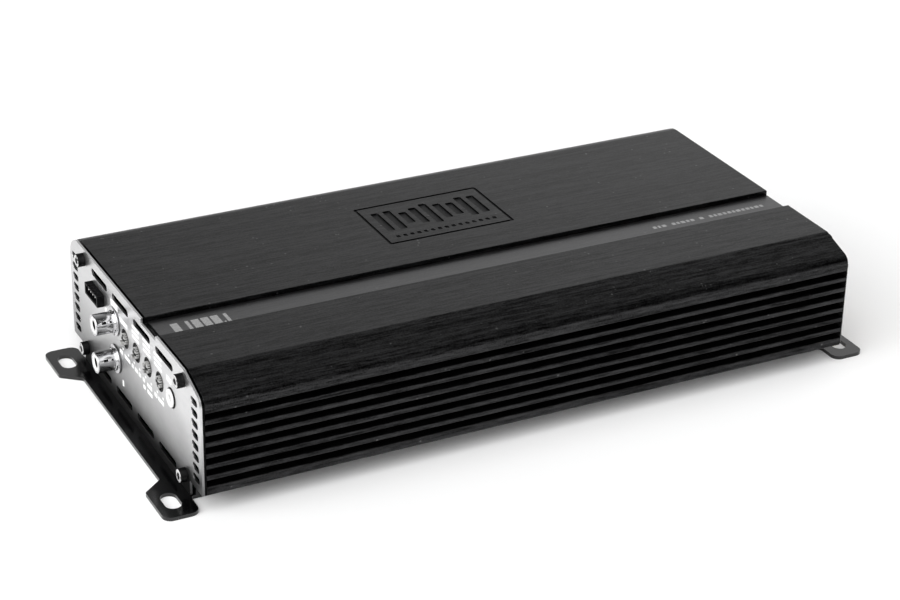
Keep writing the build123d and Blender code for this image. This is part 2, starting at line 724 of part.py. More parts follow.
def thermal_pad(x, side):
    half = FET_W / 2 + 0.9
    wall = side * INNER_HALF
    inner = side * (INNER_HALF - PAD_T)
    return block(x - half, x + half, inner, wall, FET_Z - 1, FET_Z + FET_H + 1)


def clamp_bar(x, side):
    face = side * (INNER_HALF - PAD_T - FET_T)
    back = face - side * BAR_T
    half = BAR_L / 2
    bar = block(x - half, x + half, back, face, BAR_Z - BAR_H / 2, BAR_Z + BAR_H / 2)
    for dx in CLAMP_SCREW_OFFSETS:
        bar -= rod_y(x + dx, back, face, BAR_Z, SCREW_R + 0.1)
    return bar


def clamp_screw(x, side):
    seat = side * (INNER_HALF - PAD_T - FET_T - BAR_T)
    head = seat - side * 2.2
    tip = side * (INNER_HALF + CLAMP_SCREW_IN)
    screw = rod_y(x, seat, head, BAR_Z, SCREW_HEAD_R) + rod_y(x, seat, tip, BAR_Z, SCREW_R)
    return screw - Pos(x, head + side * 0.5, BAR_Z) * Box(4.0, 1.0, 0.8)


# ---- write every node ------------------------------------------------------
os.makedirs("parts", exist_ok=True)
SIDES = (-1, 1)
POT_YS = [POT_Y0 + i * POT_PITCH for i in range(len(POT_NAMES))]

strip_z = TOP_Z - CHANNEL_DEPTH
strip_y0, strip_y1 = CHANNEL_Y0 + STRIP_GAP, CHANNEL_Y1 - STRIP_GAP
save("heatsink_shell", [make_shell()])
save("label_strip", [block(SHELL_X0, SHELL_X1, strip_y0, strip_y1, strip_z, strip_z + STRIP_T)])
save("control_end_plate", [make_control_plate()])
save("terminal_end_plate", [make_terminal_plate()])
save("control_end_gasket", [make_gasket()])
save("control_plate_screws", cap_screws(-1, -PLATE_X1, SCREW_HEAD_H, SOCKET_DEPTH))
save("terminal_plate_screws", cap_screws(1, END_X1, END_HEAD_H, END_SOCKET_DEPTH))
save("bottom_tray", [make_tray()])
save("tray_screws", [tray_screw(x, s * TRAY_SCREW_Y) for x in TRAY_SCREW_XS for s in SIDES])

save("rca_shells", [rca_shell(z) for z in RCA_ZS])
save("rca_insulators", [rca_insulator(z) for z in RCA_ZS])
save("rca_centre_contacts", [rca_contact(z) for z in RCA_ZS])
save("rca_block", [make_rca_block()])
for name, y in zip(POT_NAMES, POT_YS):
    save(name, [pot_rotor(y)])
save("control_pot_bodies", [pot_body(y) for y in POT_YS])
save("remote_jack_body", [make_jack()])
save("remote_jack_nut", [make_jack_nut()])
save("high_level_header", [make_header()])
save("header_pins", [header_pin(y) for y in header_pin_ys()])

power = list(zip(POWER_YS, POWER_RS, POWER_HALVES))
speaker = list(zip(SPEAKER_YS, SPEAKER_RS, SPEAKER_HALVES))
save("power_terminal_housing", [housing(POWER_Y0, POWER_Y1, POWER_YS, POWER_RS, POWER_HALVES)])
save("power_terminal_barrels", [barrel(*p) for p in power])
save("power_terminal_screws", [clamp_grub(y, r) for y, r, _ in power])
save("speaker_terminal_housing", [housing(SPEAKER_Y0, SPEAKER_Y1, SPEAKER_YS, SPEAKER_RS, SPEAKER_HALVES)])
save("speaker_terminal_barrels", [barrel(*p) for p in speaker])
save("speaker_terminal_screws", [clamp_grub(y, r) for y, r, _ in speaker])
clip_zs = (FUSE_Z - FUSE_BLADE_Z, FUSE_Z + FUSE_BLADE_Z)
save("fuse_holder", [make_holder()])
save("fuse_clips", [fuse_clip(y, z) for y in FUSE_YS for z in clip_zs])
save("blade_fuse_a", [blade_fuse(FUSE_YS[0])])
save("blade_fuse_b", [blade_fuse(FUSE_YS[1])])
save("status_led", [make_led()])

board_spots = [(x, s * BOARD_SCREW_Y) for x in BOARD_SCREW_XS for s in SIDES]
bar_screw_xs = [x + dx for x in BAR_XS for dx in CLAMP_SCREW_OFFSETS]
save("main_board", [make_main_board()])
save("board_screws", [board_screw(x, y) for x, y in board_spots])
save("preamp_board", [make_preamp_board()])
save("preamp_standoffs", [rod_z(x, y, BOARD_TOP, PREAMP_TOP - PREAMP_T, POST_R) for x, y in PREAMP_POSTS])
save("transformer_core", [toroid_core(XFMR)])
save("transformer_winding", [toroid_winding(XFMR)])
save("inductor_core", [toroid_core(COIL)])
save("inductor_winding", [toroid_winding(COIL)])
save("reservoir_capacitors", [capacitor(x, y) for x in CAP_XS for y in CAP_YS])
save("power_transistors", [transistor(x, s) for x in FET_XS for s in SIDES])
save("thermal_pads", [thermal_pad(x, s) for x in FET_XS for s in SIDES])
save("clamp_bars", [clamp_bar(x, s) for x in BAR_XS for s in SIDES])
save("clamp_screws", [clamp_screw(x, s) for x in bar_screw_xs for s in SIDES])
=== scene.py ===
import bpy
import bmesh
import math
from mathutils import Matrix, Vector


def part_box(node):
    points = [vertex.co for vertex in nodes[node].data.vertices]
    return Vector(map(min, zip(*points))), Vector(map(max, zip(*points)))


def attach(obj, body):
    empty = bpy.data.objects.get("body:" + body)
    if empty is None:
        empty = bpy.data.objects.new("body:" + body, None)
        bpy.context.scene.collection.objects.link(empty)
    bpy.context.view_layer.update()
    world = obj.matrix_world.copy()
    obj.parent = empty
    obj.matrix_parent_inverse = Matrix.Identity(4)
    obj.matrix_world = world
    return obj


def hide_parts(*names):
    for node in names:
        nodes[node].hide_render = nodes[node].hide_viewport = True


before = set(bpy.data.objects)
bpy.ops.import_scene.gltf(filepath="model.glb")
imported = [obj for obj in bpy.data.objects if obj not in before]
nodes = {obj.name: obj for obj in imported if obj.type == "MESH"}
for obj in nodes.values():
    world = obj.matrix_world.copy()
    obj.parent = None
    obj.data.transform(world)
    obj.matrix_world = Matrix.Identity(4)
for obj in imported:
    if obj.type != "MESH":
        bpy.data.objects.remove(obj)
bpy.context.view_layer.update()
MM = 0.001
WELD = 0.0000005


# ---------------------------------------------------------------- numbers, in millimetres
SHELL_X0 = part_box("heatsink_shell")[0].x / MM
SHELL_X1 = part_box("heatsink_shell")[1].x / MM
PLATE_OUT, PLATE_IN = (v.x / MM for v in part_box("control_end_plate"))
END_IN, END_OUT = (v.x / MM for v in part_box("terminal_end_plate"))
HALF_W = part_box("heatsink_shell")[1].y / MM
TOP_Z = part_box("heatsink_shell")[1].z / MM
BASE_Z = 8.0
CHAMFER_Z = BASE_Z + 40.0
CREASE = HALF_W - 15.9
FAR_R = 10.0
WALL_Y = 64.0
CHANNEL_Y0 = -27.4
CHANNEL_Y1 = -11.5
CHANNEL_DEPTH = 2.7
NOTCH_DEPTH = 2.2
GROOVES = 7
GROOVE_TOP = BASE_Z + 34.2
GROOVE_PITCH = 4.65
GROOVE_H = 2.65
GROOVE_DEPTH = 5.0
TONGUE = 59.0
END_INSET = 1.2
CHEEK_LOW = 0.4
CHEEK_TOP = 37.0
TRAY_T = 1.5
TRAY_HALF = 59.5
FOOT_SLOT_X = 148.8
SCREW_Y = 55.0
SCREW_ZS = (48.4, 8.5)
HEAD_R = 2.75
SOCKET_R = 1.44
RCA_Y = 19.6
RCA_ZS = (20.7, 37.3)
BARREL_R = 4.3
BARREL_REACH = 8.7
FLANGE_R = 6.0
POT_HOLE_R = 3.8
SLOT_L, SLOT_H = 18.2, 3.0
VENT_L, VENT_H = 6.6, 2.9
INK_T = 0.02
PIN_PITCH = 2.54
POTS = ("gain_control", "crossover_control", "boost_control", "phase_control")


def centre(node):
    lo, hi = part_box(node)
    return (lo + hi) / 2 / MM


POT_YS = [centre(n).y for n in POTS]
POT_Z = centre(POTS[0]).z
JACK = centre("remote_jack_nut")
HEADER_LO, HEADER_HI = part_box("high_level_header")


# ---------------------------------------------------------------- material kit
def lin(v):
    """An 8-bit display value as a linear one."""
    v /= 255.0
    return v / 12.92 if v <= 0.04045 else ((v + 0.055) / 1.055) ** 2.4


def grey(v):
    g = lin(v)
    return (g, g, g, 1.0)


def shade(base, gain, lift=0.0):
    """A colour made darker or lighter, kept at 1 or under."""
    return tuple(min(1.0, c * gain + lift) for c in base[:3]) + (1,)


class Mat:
    """A small builder for procedural materials in object coordinates, which are in metres."""

    def __init__(self, name, metallic=0.0, rough=0.5, spec=0.5, coat=0.0, coat_rough=0.1):
        self.m = bpy.data.materials.new(name)
        self.m.use_nodes = True
        self.nt = self.m.node_tree
        self.b = self.nt.nodes["Principled BSDF"]
        self.b.inputs["Metallic"].default_value = metallic
        self.b.inputs["Roughness"].default_value = rough
        self.b.inputs["Specular IOR Level"].default_value = spec
        self.b.inputs["Coat Weight"].default_value = coat
        self.b.inputs["Coat Roughness"].default_value = coat_rough
        self.b.inputs["IOR"].default_value = 1.45
        self.co = self.nt.nodes.new("ShaderNodeTexCoord").outputs["Object"]
        self.height = None

    def node(self, kind, **props):
        n = self.nt.nodes.new(kind)
        for k, v in props.items():
            setattr(n, k, v)
        return n

    def link(self, a, b):
        self.nt.links.new(a, b)

    def scaled(self, sx, sy, sz, shift=(0, 0, 0)):
        n = self.node("ShaderNodeMapping")
        n.inputs["Scale"].default_value = (sx, sy, sz)
        n.inputs["Location"].default_value = shift
        self.link(self.co, n.inputs["Vector"])
        return n.outputs["Vector"]

    def noise(self, vec, scale=1.0, detail=4.0, rough=0.55):
        n = self.node("ShaderNodeTexNoise")
        n.inputs["Scale"].default_value = scale
        n.inputs["Detail"].default_value = detail
        n.inputs["Roughness"].default_value = rough
        self.link(vec, n.inputs["Vector"])
        return n.outputs["Fac"]

    def voronoi(self, vec, scale):
        n = self.node("ShaderNodeTexVoronoi", feature="F1")
        n.inputs["Scale"].default_value = scale
        self.link(vec, n.inputs["Vector"])
        return n.outputs["Distance"]

    def remap(self, v, a, b, c=0.0, d=1.0):
        n = self.node("ShaderNodeMapRange")
        for key, val in (("From Min", a), ("From Max", b), ("To Min", c), ("To Max", d)):
            n.inputs[key].default_value = val
        self.link(v, n.inputs["Value"])
        return n.outputs["Result"]

    def math(self, op, a, b):
        n = self.node("ShaderNodeMath", operation=op)
        for i, v in enumerate((a, b)):
            if isinstance(v, (int, float)):
                n.inputs[i].default_value = v
            else:
                self.link(v, n.inputs[i])
        return n.outputs[0]

    def mix(self, fac, a, b):
        n = self.node("ShaderNodeMix", data_type="RGBA")
        self.link(fac, n.inputs["Factor"])
        for key, v in ((6, a), (7, b)):
            if isinstance(v, tuple):
                n.inputs[key].default_value = v
            else:
                self.link(v, n.inputs[key])
        return n.outputs[2]

    def attr(self, name):
        n = self.node("ShaderNodeAttribute", attribute_name=name)
        return n.outputs["Fac"]

    def split(self, vec):
        n = self.node("ShaderNodeSeparateXYZ")
        self.link(vec, n.inputs[0])
        return n.outputs

    def color(self, v):
        self.link(v, self.b.inputs["Base Color"])

    def rough(self, v):
        self.link(v, self.b.inputs["Roughness"])

    def bump(self, v, strength, distance):
        n = self.node("ShaderNodeBump")
        n.inputs["Strength"].default_value = strength
        n.inputs["Distance"].default_value = distance
        self.link(v, n.inputs["Height"])
        if self.height is not None:
            self.link(self.height, n.inputs["Normal"])
        self.height = n.outputs["Normal"]
        self.link(self.height, self.b.inputs["Normal"])


def speckle(k, vec, scale, size, keep):
    """Sparse dots: near the cell centres, kept only where a second noise is high."""
    dots = k.remap(k.voronoi(vec, scale), size, size * 0.55)
    where = k.remap(k.noise(vec, scale * 0.37, 2.0), keep, keep + 0.04)
    return k.math("MULTIPLY", dots, where)


def brushed_black(name, base, streak, rough, edge_wear_and_highlight=0.8):
    """Anodised metal with grain along X, sparse bare specks and rubbed edges; a high edge setting also paints
    a highlight on the edges.
    """
    k = Mat(name, metallic=1.0, rough=rough, spec=0.5)
    fine_n = k.noise(k.scaled(170.0, 1500.0, 1500.0), 1.0, 3.0, 0.6)
    wide_n = k.noise(k.scaled(48.0, 950.0, 950.0, (3.1, 0.7, 1.9)), 1.0, 3.0, 0.6)
    long_n = k.noise(k.scaled(9.0, 520.0, 520.0, (1.1, 2.7, 0.9)), 1.0, 2.0, 0.6)
    grain = k.math("ADD", k.math("MULTIPLY", fine_n, 0.4), k.math("MULTIPLY", wide_n, 0.4))
    grain = k.math("ADD", grain, k.math("MULTIPLY", long_n, 0.2))
    grit = k.noise(k.scaled(1, 1, 1, (0.4, 0.8, 0.2)), 1500.0, 2.0, 0.7)
    f = k.remap(k.math("ADD", k.math("MULTIPLY", grain, 0.75), k.math("MULTIPLY", grit, 0.25)), 0.42, 0.58)
    lo = shade(base, 1 - streak)
    hi = shade(base, 1 + streak)
    col = k.mix(f, lo, hi)
    dust = speckle(k, k.scaled(1, 1, 1), 420.0, 0.24, 0.62)
    col = k.mix(k.math("MULTIPLY", dust, 0.3), col, grey(150))
    edge = k.attr("edge")
    chips = k.remap(k.noise(k.scaled(160.0, 700.0, 700.0), 1.0, 4.0, 0.7), 0.60, 0.68)
    # Pale edges: rubbed wear, and a painted highlight where the edge setting is high.
    col = k.mix(k.math("MULTIPLY", k.math("MULTIPLY", edge, chips), edge_wear_and_highlight), col, grey(170))
    soft = k.math("MULTIPLY", edge, k.remap(k.noise(k.scaled(22, 120, 120), 1.0, 3.0), 0.35, 0.7, 0.05, 0.45))
    col = k.mix(k.math("MULTIPLY", soft, edge_wear_and_highlight), col, grey(100))
    k.color(col)
    k.rough(k.remap(grain, 0.3, 0.7, rough - 0.06, rough + 0.08))
    k.bump(fine_n, 0.2, 0.00004)
    k.bump(wide_n, 0.12, 0.00006)
    return k.m


def plate_metal(name):
    """Satin silver sheet: faint grain, soft clouds, tiny pits and a paler cut edge.

    Its tone is painted darker towards the foot and the far side, to stand for soft shading.
    """
    k = Mat(name, metallic=1.0, rough=0.3)
    grain = k.noise(k.scaled(60.0, 45.0, 900.0), 1.0, 3.0, 0.6)
    cloud = k.noise(k.scaled(1, 1, 1), 55.0, 4.0, 0.6)
    col = k.mix(k.remap(grain, 0.3, 0.7), (0.69, 0.69, 0.695, 1), (0.735, 0.735, 0.735, 1))
    col = k.mix(k.remap(cloud, 0.35, 0.7, 0.0, 0.25), col, (0.63, 0.63, 0.635, 1))
    pits = speckle(k, k.scaled(1, 1, 1), 700.0, 0.2, 0.62)
    col = k.mix(k.math("MULTIPLY", pits, 0.4), col, (0.35, 0.35, 0.35, 1))
    col = k.mix(k.math("MULTIPLY", k.attr("edge"), 0.3), col, (0.80, 0.80, 0.80, 1))
    parts = k.split(k.co)
    # Painted shade and painted reflection of the dark tray: the tone darkens towards the foot.
    painted_shade_low = k.remap(parts["Z"], 0.012, 0.036, 0.76, 0.0)
    painted_shade_low = k.math("ADD", painted_shade_low, k.remap(parts["Z"], 0.006, 0.013, 0.2, 0.0))
    painted_shade_low = k.math("MULTIPLY", painted_shade_low, k.remap(cloud, 0.2, 0.8, 0.93, 1.07))
    col = k.mix(painted_shade_low, col, (0.06, 0.06, 0.061, 1))
    # Painted shade: the tone darkens towards the far side.
    side = k.math("MULTIPLY", k.remap(parts["Y"], -0.066, 0.03), 0.22)
    col = k.mix(side, col, (0.30, 0.30, 0.30, 1))
    k.color(col)
    k.rough(k.remap(cloud, 0.3, 0.7, 0.29, 0.38))
    k.bump(grain, 0.1, 0.00003)
    return k.m


def painted_black(name, base=(0.006, 0.006, 0.0065, 1), rough=0.24, dust=1.0, worn=0.3, spec=0.5):
    """Sprayed paint: orange peel, dust specks, chips on the bends."""
    k = Mat(name, rough=rough, spec=spec)
    peel = k.noise(k.scaled(1, 1, 1), 900.0, 3.0, 0.55)
    cloud = k.noise(k.scaled(1, 1, 1), 60.0, 4.0, 0.6)
    col = k.mix(cloud, shade(base, 0.7), shade(base, 1.5))
    big = speckle(k, k.scaled(1, 1, 1), 300.0, 0.15, 0.62)
    fine = speckle(k, k.scaled(1, 1, 1, (0.3, 0.1, 0.2)), 800.0, 0.2, 0.60)
    col = k.mix(k.math("MULTIPLY", big, 0.55 * dust), col, grey(150))
    col = k.mix(k.math("MULTIPLY", fine, 0.25 * dust), col, grey(120))
    chips = k.remap(k.noise(k.scaled(1, 1, 1), 380.0, 4.0, 0.7), 0.62 - worn * 0.2, 0.72 - worn * 0.2)
    edge = k.math("MULTIPLY", k.attr("edge"), chips)
    col = k.mix(k.math("MULTIPLY", edge, min(0.95, 0.4 + worn * 0.55)), col, grey(150 + 50 * worn))
    k.color(col)
    k.rough(k.remap(cloud, 0.3, 0.7, rough - 0.05, rough + 0.1))
    k.bump(peel, 0.14, 0.00006)
    return k.m


def moulded(name, base, rough=0.5, spot=0.25, spec=0.4):
    """Moulded plastic: fine spark texture, flow clouds, paler edges."""
    k = Mat(name, rough=rough, spec=spec)
    tex = k.noise(k.scaled(1, 1, 1), 2200.0, 3.0, 0.6)
    cloud = k.noise(k.scaled(1, 1, 1), 130.0, 4.0, 0.6)
    lo = shade(base, 1 - spot)
    hi = shade(base, 1 + spot)
    col = k.mix(k.remap(cloud, 0.3, 0.7), lo, hi)
    pale = shade(base, 1.6, 0.02)
    col = k.mix(k.math("MULTIPLY", k.attr("edge"), 0.5), col, pale)
    k.color(col)
    k.rough(k.remap(tex, 0.3, 0.7, rough - 0.08, rough + 0.1))
    k.bump(tex, 0.2, 0.00004)
    return k.m


def plated(name, base, rough=0.08, grime=0.35):
    """Bright plating: turning marks round X, faint haze and dull spots."""
    k = Mat(name, metallic=1.0, rough=rough)
    turn = k.noise(k.scaled(2600.0, 8.0, 8.0), 1.0, 3.0, 0.6)
    haze = k.noise(k.scaled(1, 1, 1), 260.0, 4.0, 0.62)
    dark = shade(base, 0.55)
    col = k.mix(k.remap(haze, 0.52, 0.75, 0.0, grime), base, dark)
    k.color(col)
    k.rough(k.remap(haze, 0.3, 0.75, rough * 0.7, rough * 2.4))
    k.bump(turn, 0.10, 0.00002)
    return k.m


def turned_steel(name, base=(0.45, 0.45, 0.46, 1), rough=0.32):
    """Bare metal with fine, uneven dullness."""
    k = Mat(name, metallic=1.0, rough=rough)
    n = k.noise(k.scaled(1, 1, 1), 800.0, 4.0, 0.6)
    k.color(k.mix(k.remap(n, 0.3, 0.7), shade(base, 0.75), base))
    k.rough(k.remap(n, 0.3, 0.7, rough - 0.08, rough + 0.14))
    k.bump(n, 0.15, 0.00004)
    return k.m


def print_ink(name, base):
    """Screen-printed ink, slightly broken up."""
    k = Mat(name, rough=0.55, spec=0.35)
    n = k.noise(k.scaled(1, 1, 1), 1400.0, 3.0, 0.6)
    k.color(k.mix(k.remap(n, 0.35, 0.6), shade(base, 0.8), base))
    k.rough(k.remap(n, 0.3, 0.7, 0.45, 0.65))
    k.bump(n, 0.2, 0.00003)
    return k.m


def board_mat(name):
    """Solder mask with tracks and plated spots."""
    k = Mat(name, rough=0.35, spec=0.5, coat=0.3, coat_rough=0.2)
    v = k.node("ShaderNodeTexBrick")
    v.inputs["Scale"].default_value = 160.0
    v.inputs["Mortar Size"].default_value = 0.05
    v.inputs["Color1"].default_value = (0.012, 0.075, 0.03, 1)
    v.inputs["Color2"].default_value = (0.018, 0.095, 0.04, 1)
    v.inputs["Mortar"].default_value = (0.03, 0.16, 0.07, 1)
    k.link(k.scaled(1, 1, 1), v.inputs["Vector"])
    dots = speckle(k, k.scaled(1, 1, 1), 260.0, 0.2, 0.52)
    k.color(k.mix(dots, v.outputs["Color"], (0.72, 0.72, 0.68, 1)))
    k.rough(k.remap(k.noise(k.scaled(1, 1, 1), 500.0), 0.3, 0.7, 0.28, 0.45))
    k.bump(k.noise(k.scaled(1, 1, 1), 700.0, 3.0), 0.2, 0.00005)
    return k.m


M_SHELL = brushed_black("anodised_black", (0.0265, 0.0265, 0.0272, 1), 0.8, 0.34)
# The strip's high edge setting paints its edges paler: partly wear, partly a painted highlight on its bevels.
M_STRIP = brushed_black("strip_satin", (0.122, 0.122, 0.124, 1), 0.16, 0.34, 1.8)
M_PLATE = plate_metal("plate_silver")
M_TRAY = painted_black("tray_black", (0.0015, 0.0015, 0.0017, 1), 0.14, 1.0, 0.1, 0.75)
M_SCREW = painted_black("screw_black", (0.0015, 0.0015, 0.0017, 1), 0.36, 0.4, 1.0, 0.2)
M_GASKET = moulded("gasket_foam", (0.003, 0.003, 0.003, 1), 0.85, 0.1, 0.1)
M_CHROME = plated("jack_chrome", (0.55, 0.55, 0.56, 1), 0.09)
M_TIN = plated("pin_tin", (0.85, 0.85, 0.84, 1), 0.3, 0.1)
M_CONTACT = plated("contact_plated", (0.60, 0.57, 0.47, 1), 0.16)
M_NICKEL = plated("barrel_nickel", (0.56, 0.56, 0.54, 1), 0.2)
M_WHITE = moulded("jack_white", (0.66, 0.66, 0.655, 1), 0.38, 0.06)
M_BLACK = moulded("moulded_black", (0.002, 0.002, 0.0023, 1), 0.42, 0.15, 0.12)
M_RECESS = moulded("recess_dark", (0.011, 0.011, 0.0115, 1), 0.5, 0.4, 0.2)
M_GREY = moulded("control_grey", (0.34, 0.34, 0.335, 1), 0.42, 0.1, 0.25)
M_STEEL = turned_steel("bar_steel")
M_BRASS = turned_steel("post_brass", (0.72, 0.53, 0.24, 1), 0.28)
M_INK = print_ink("ink_white", (0.93, 0.93, 0.93, 1))
M_INK_DIM = print_ink("ink_pale", grey(150))
M_BOARD = board_mat("board_green")
M_FERRITE = moulded("core_ferrite", (0.05, 0.06, 0.055, 1), 0.4)
M_SLEEVE = moulded("capacitor_sleeve", (0.012, 0.012, 0.02, 1), 0.25)
M_PAD = moulded("pad_grey", (0.32, 0.32, 0.33, 1), 0.7)
M_FUSE = moulded("fuse_shell", (0.75, 0.42, 0.03, 1), 0.22)
M_COPPER = turned_steel("winding_copper", (0.72, 0.27, 0.10, 1), 0.25)
M_LAMP = moulded("lamp_clear", (0.10, 0.45, 0.12, 1), 0.15)


# ---------------------------------------------------------------- mesh kit
def to_object(name, mesh, mat, body, bevel=0.0, segs=2, angle=35.0):
    """Makes a mesh a piece: eases and marks its hard edges, smooths its normals, lets it ride a body."""
    obj = bpy.data.objects.new(name, mesh)
    bpy.context.scene.collection.objects.link(obj)
    obj.data.materials.clear()
    obj.data.materials.append(mat)
    bm = bmesh.new()
    bm.from_mesh(mesh)
    bmesh.ops.remove_doubles(bm, verts=bm.verts, dist=WELD)
    bmesh.ops.recalc_face_normals(bm, faces=bm.faces)
    lay = bm.faces.layers.float.new("edge")
    if bevel > 0:
        sharp = [e for e in bm.edges if len(e.link_faces) == 2
                 and e.calc_face_angle(0) > math.radians(angle)]
        r = bmesh.ops.bevel(bm, geom=sharp, offset=bevel * MM, segments=segs, profile=0.5,
                            affect="EDGES", clamp_overlap=True)
        for f in r["faces"]:
            f[lay] = 1.0
    bm.to_mesh(mesh)
    bm.free()
    for p in mesh.polygons:
        p.use_smooth = True
    mesh.set_sharp_from_angle(angle=math.radians(46))
    mod = obj.modifiers.new("normals", "WEIGHTED_NORMAL")
    mod.keep_sharp = True
    mod.weight = 100
    obj.data = bpy.data.meshes.new_from_object(obj.evaluated_get(bpy.context.evaluated_depsgraph_get()))
    obj.data.name = name
    obj.modifiers.clear()
    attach(obj, body)
    return obj


def arc(cy, cz, r, a0, a1, n):
    """Points round a centre from one angle to another, in degrees."""
    return [(cy + r * math.cos(math.radians(a0 + (a1 - a0) * i / n)),
             cz + r * math.sin(math.radians(a0 + (a1 - a0) * i / n))) for i in range(n + 1)]


ROUNDED_LARGE = 8.0


def rounded(points, radii, n=4):
    """Corner-rounded closed polygon; radii is one number or a list."""
    out = []
    count = len(points)
    for i, p in enumerate(points):
        r = radii[i] if isinstance(radii, (list, tuple)) else radii
        a = Vector(points[i - 1]) - Vector(p)
        b = Vector(points[(i + 1) % count]) - Vector(p)
        if r <= 0 or a.length < 1e-6 or b.length < 1e-6:
            out.append(tuple(p))
            continue
        half = a.angle(b) / 2
        if half > math.radians(89.5):
            out.append(tuple(p))
            continue
        room = 0.94 if r > ROUNDED_LARGE else 0.48
        d = min(r / math.tan(half), a.length * room, b.length * room)
        rr = d * math.tan(half)
        a.normalize()
        b.normalize()
        c = Vector(p) + (a + b).normalized() * (rr / math.sin(half))
        s = Vector(p) + a * d - c
        e = Vector(p) + b * d - c
        sweep = s.angle_signed(e)
        for j in range(n + 1):
            t = -sweep * j / n
            out.append((c.x + s.x * math.cos(t) - s.y * math.sin(t),
                        c.y + s.x * math.sin(t) + s.y * math.cos(t)))
    return out


def slot_loop(cy, cz, length, height, n=8):
    r = height / 2
    h = length / 2 - r
    return arc(cy + h, cz, r, -90, 90, n) + arc(cy - h, cz, r, 90, 270, n)


def circle_loop(cy, cz, r, n=32):
    return arc(cy, cz, r, 0, 360 - 360 / n, n - 1)


def rect_loop(y0, y1, z0, z1, r=0.0):
    pts = [(y0, z0), (y1, z0), (y1, z1), (y0, z1)]
    return rounded(pts, r) if r > 0 else pts


AXES = {"x": Matrix(((0, 0, 1, 0), (1, 0, 0, 0), (0, 1, 0, 0), (0, 0, 0, 1))),
        "z": Matrix.Identity(4)}


def sheet_mesh(name, loops, lo, hi, axis="x"):
    """Solid between lo and hi along an axis, from an outline and its holes, in millimetres."""
    cu = bpy.data.curves.new(name + "_c", "CURVE")
    cu.dimensions = "2D"
    cu.fill_mode = "BOTH"
    for loop in loops:
        sp = cu.splines.new("POLY")
        sp.points.add(len(loop) - 1)
        for p, (a, b) in zip(sp.points, loop):
            p.co = (a * MM, b * MM, 0, 1)
        sp.use_cyclic_u = True
    cu.extrude = abs(hi - lo) / 2 * MM
    tmp = bpy.data.objects.new(name + "_t", cu)
    bpy.context.scene.collection.objects.link(tmp)
    dg = bpy.context.evaluated_depsgraph_get()
    mesh = bpy.data.meshes.new_from_object(tmp.evaluated_get(dg))
    bpy.data.objects.remove(tmp)
    bpy.data.curves.remove(cu)
    mesh.name = name
    mid = (lo + hi) / 2 * MM
    off = Matrix.Translation((mid, 0, 0)) if axis == "x" else Matrix.Translation((0, 0, mid))
    mesh.transform(off @ AXES[axis])
    bm = bmesh.new()
    bm.from_mesh(mesh)
    bmesh.ops.remove_doubles(bm, verts=bm.verts, dist=WELD)
    bmesh.ops.dissolve_limit(bm, angle_limit=math.radians(0.5), verts=bm.verts, edges=bm.edges)
    bmesh.ops.recalc_face_normals(bm, faces=bm.faces)
    bm.to_mesh(mesh)
    bm.free()
    return mesh


def lathe_mesh(name, profile, axis_y, axis_z, n=64, axis="x", x0=0.0):
    """Closed profile of (along, radius) turned round an axis, in millimetres."""
    bm = bmesh.new()
    rings = []
    for i in range(n):
        a = 2 * math.pi * i / n
        ring = []
        for t, r in profile:
            if axis == "x":
                co = ((x0 + t) * MM, (axis_y + r * math.cos(a)) * MM, (axis_z + r * math.sin(a)) * MM)
            else:
                co = ((axis_y + r * math.cos(a)) * MM, (axis_z + r * math.sin(a)) * MM, (x0 + t) * MM)
            ring.append(bm.verts.new(co))
        rings.append(ring)
    m = len(profile)
    for i in range(n):
        a, b = rings[i], rings[(i + 1) % n]
        for j in range(m):
            k = (j + 1) % m
            quad = [a[j], a[k], b[k], b[j]]
            bm.faces.new(quad)
    bmesh.ops.remove_doubles(bm, verts=bm.verts, dist=WELD)
    bmesh.ops.dissolve_degenerate(bm, dist=WELD, edges=bm.edges)
    bmesh.ops.recalc_face_normals(bm, faces=bm.faces)
    mesh = bpy.data.meshes.new(name)
    bm.to_mesh(mesh)
    bm.free()
    return mesh


def cut(mesh, cutters, op="DIFFERENCE"):
    """Exact boolean of a mesh with several others."""
    a = bpy.data.objects.new("cut_a", mesh)
    bpy.context.scene.collection.objects.link(a)
    holds = []
    coll = bpy.data.collections.new("cut_set")
    bpy.context.scene.collection.children.link(coll)
    for c in cutters:
        o = bpy.data.objects.new("cut_b", c)
        coll.objects.link(o)
        holds.append(o)
    mod = a.modifiers.new("b", "BOOLEAN")
    mod.operation = op
    mod.solver = "EXACT"
    mod.operand_type = "COLLECTION"
    mod.collection = coll
    dg = bpy.context.evaluated_depsgraph_get()
    out = bpy.data.meshes.new_from_object(a.evaluated_get(dg))
    bpy.data.objects.remove(a)
    for o in holds:
        bpy.data.objects.remove(o)
    bpy.data.collections.remove(coll)
    bm = bmesh.new()
    bm.from_mesh(out)
    bmesh.ops.remove_doubles(bm, verts=bm.verts, dist=WELD)
    bmesh.ops.dissolve_limit(bm, angle_limit=math.radians(0.4), verts=bm.verts, edges=bm.edges)
    bm.to_mesh(out)
    bm.free()
    return out


def box_mesh(name, x0, x1, y0, y1, z0, z1):
    return sheet_mesh(name, [rect_loop(y0, y1, z0, z1)], x0, x1)


def join(meshes, name):
    """Several meshes as one."""
    bm = bmesh.new()
    for m in meshes:
        bm.from_mesh(m)
    out = bpy.data.meshes.new(name)
    bm.to_mesh(out)
    bm.free()
    return out


# ---------------------------------------------------------------- outlines
def plate_outline():
    """The control plate: the shell's outline without grooves, with a tongue down to the tray."""
    notch = TOP_Z - NOTCH_DEPTH
    pts = [(-HALF_W, BASE_Z), (-HALF_W, CHAMFER_Z), (-CREASE, TOP_Z), (CHANNEL_Y0, TOP_Z),
           (CHANNEL_Y0, notch), (CHANNEL_Y1, notch), (CHANNEL_Y1, TOP_Z), (HALF_W, TOP_Z),
           (HALF_W, BASE_Z), (TONGUE, BASE_Z), (TONGUE, TRAY_T), (-TONGUE, TRAY_T), (-TONGUE, BASE_Z)]
    return rounded(pts, [0.4, 5.0, 3.0, 0.3, 0.2, 0.2, 0.3, FAR_R, 0.4, 0.6, 0.4, 0.4, 0.6], 8)


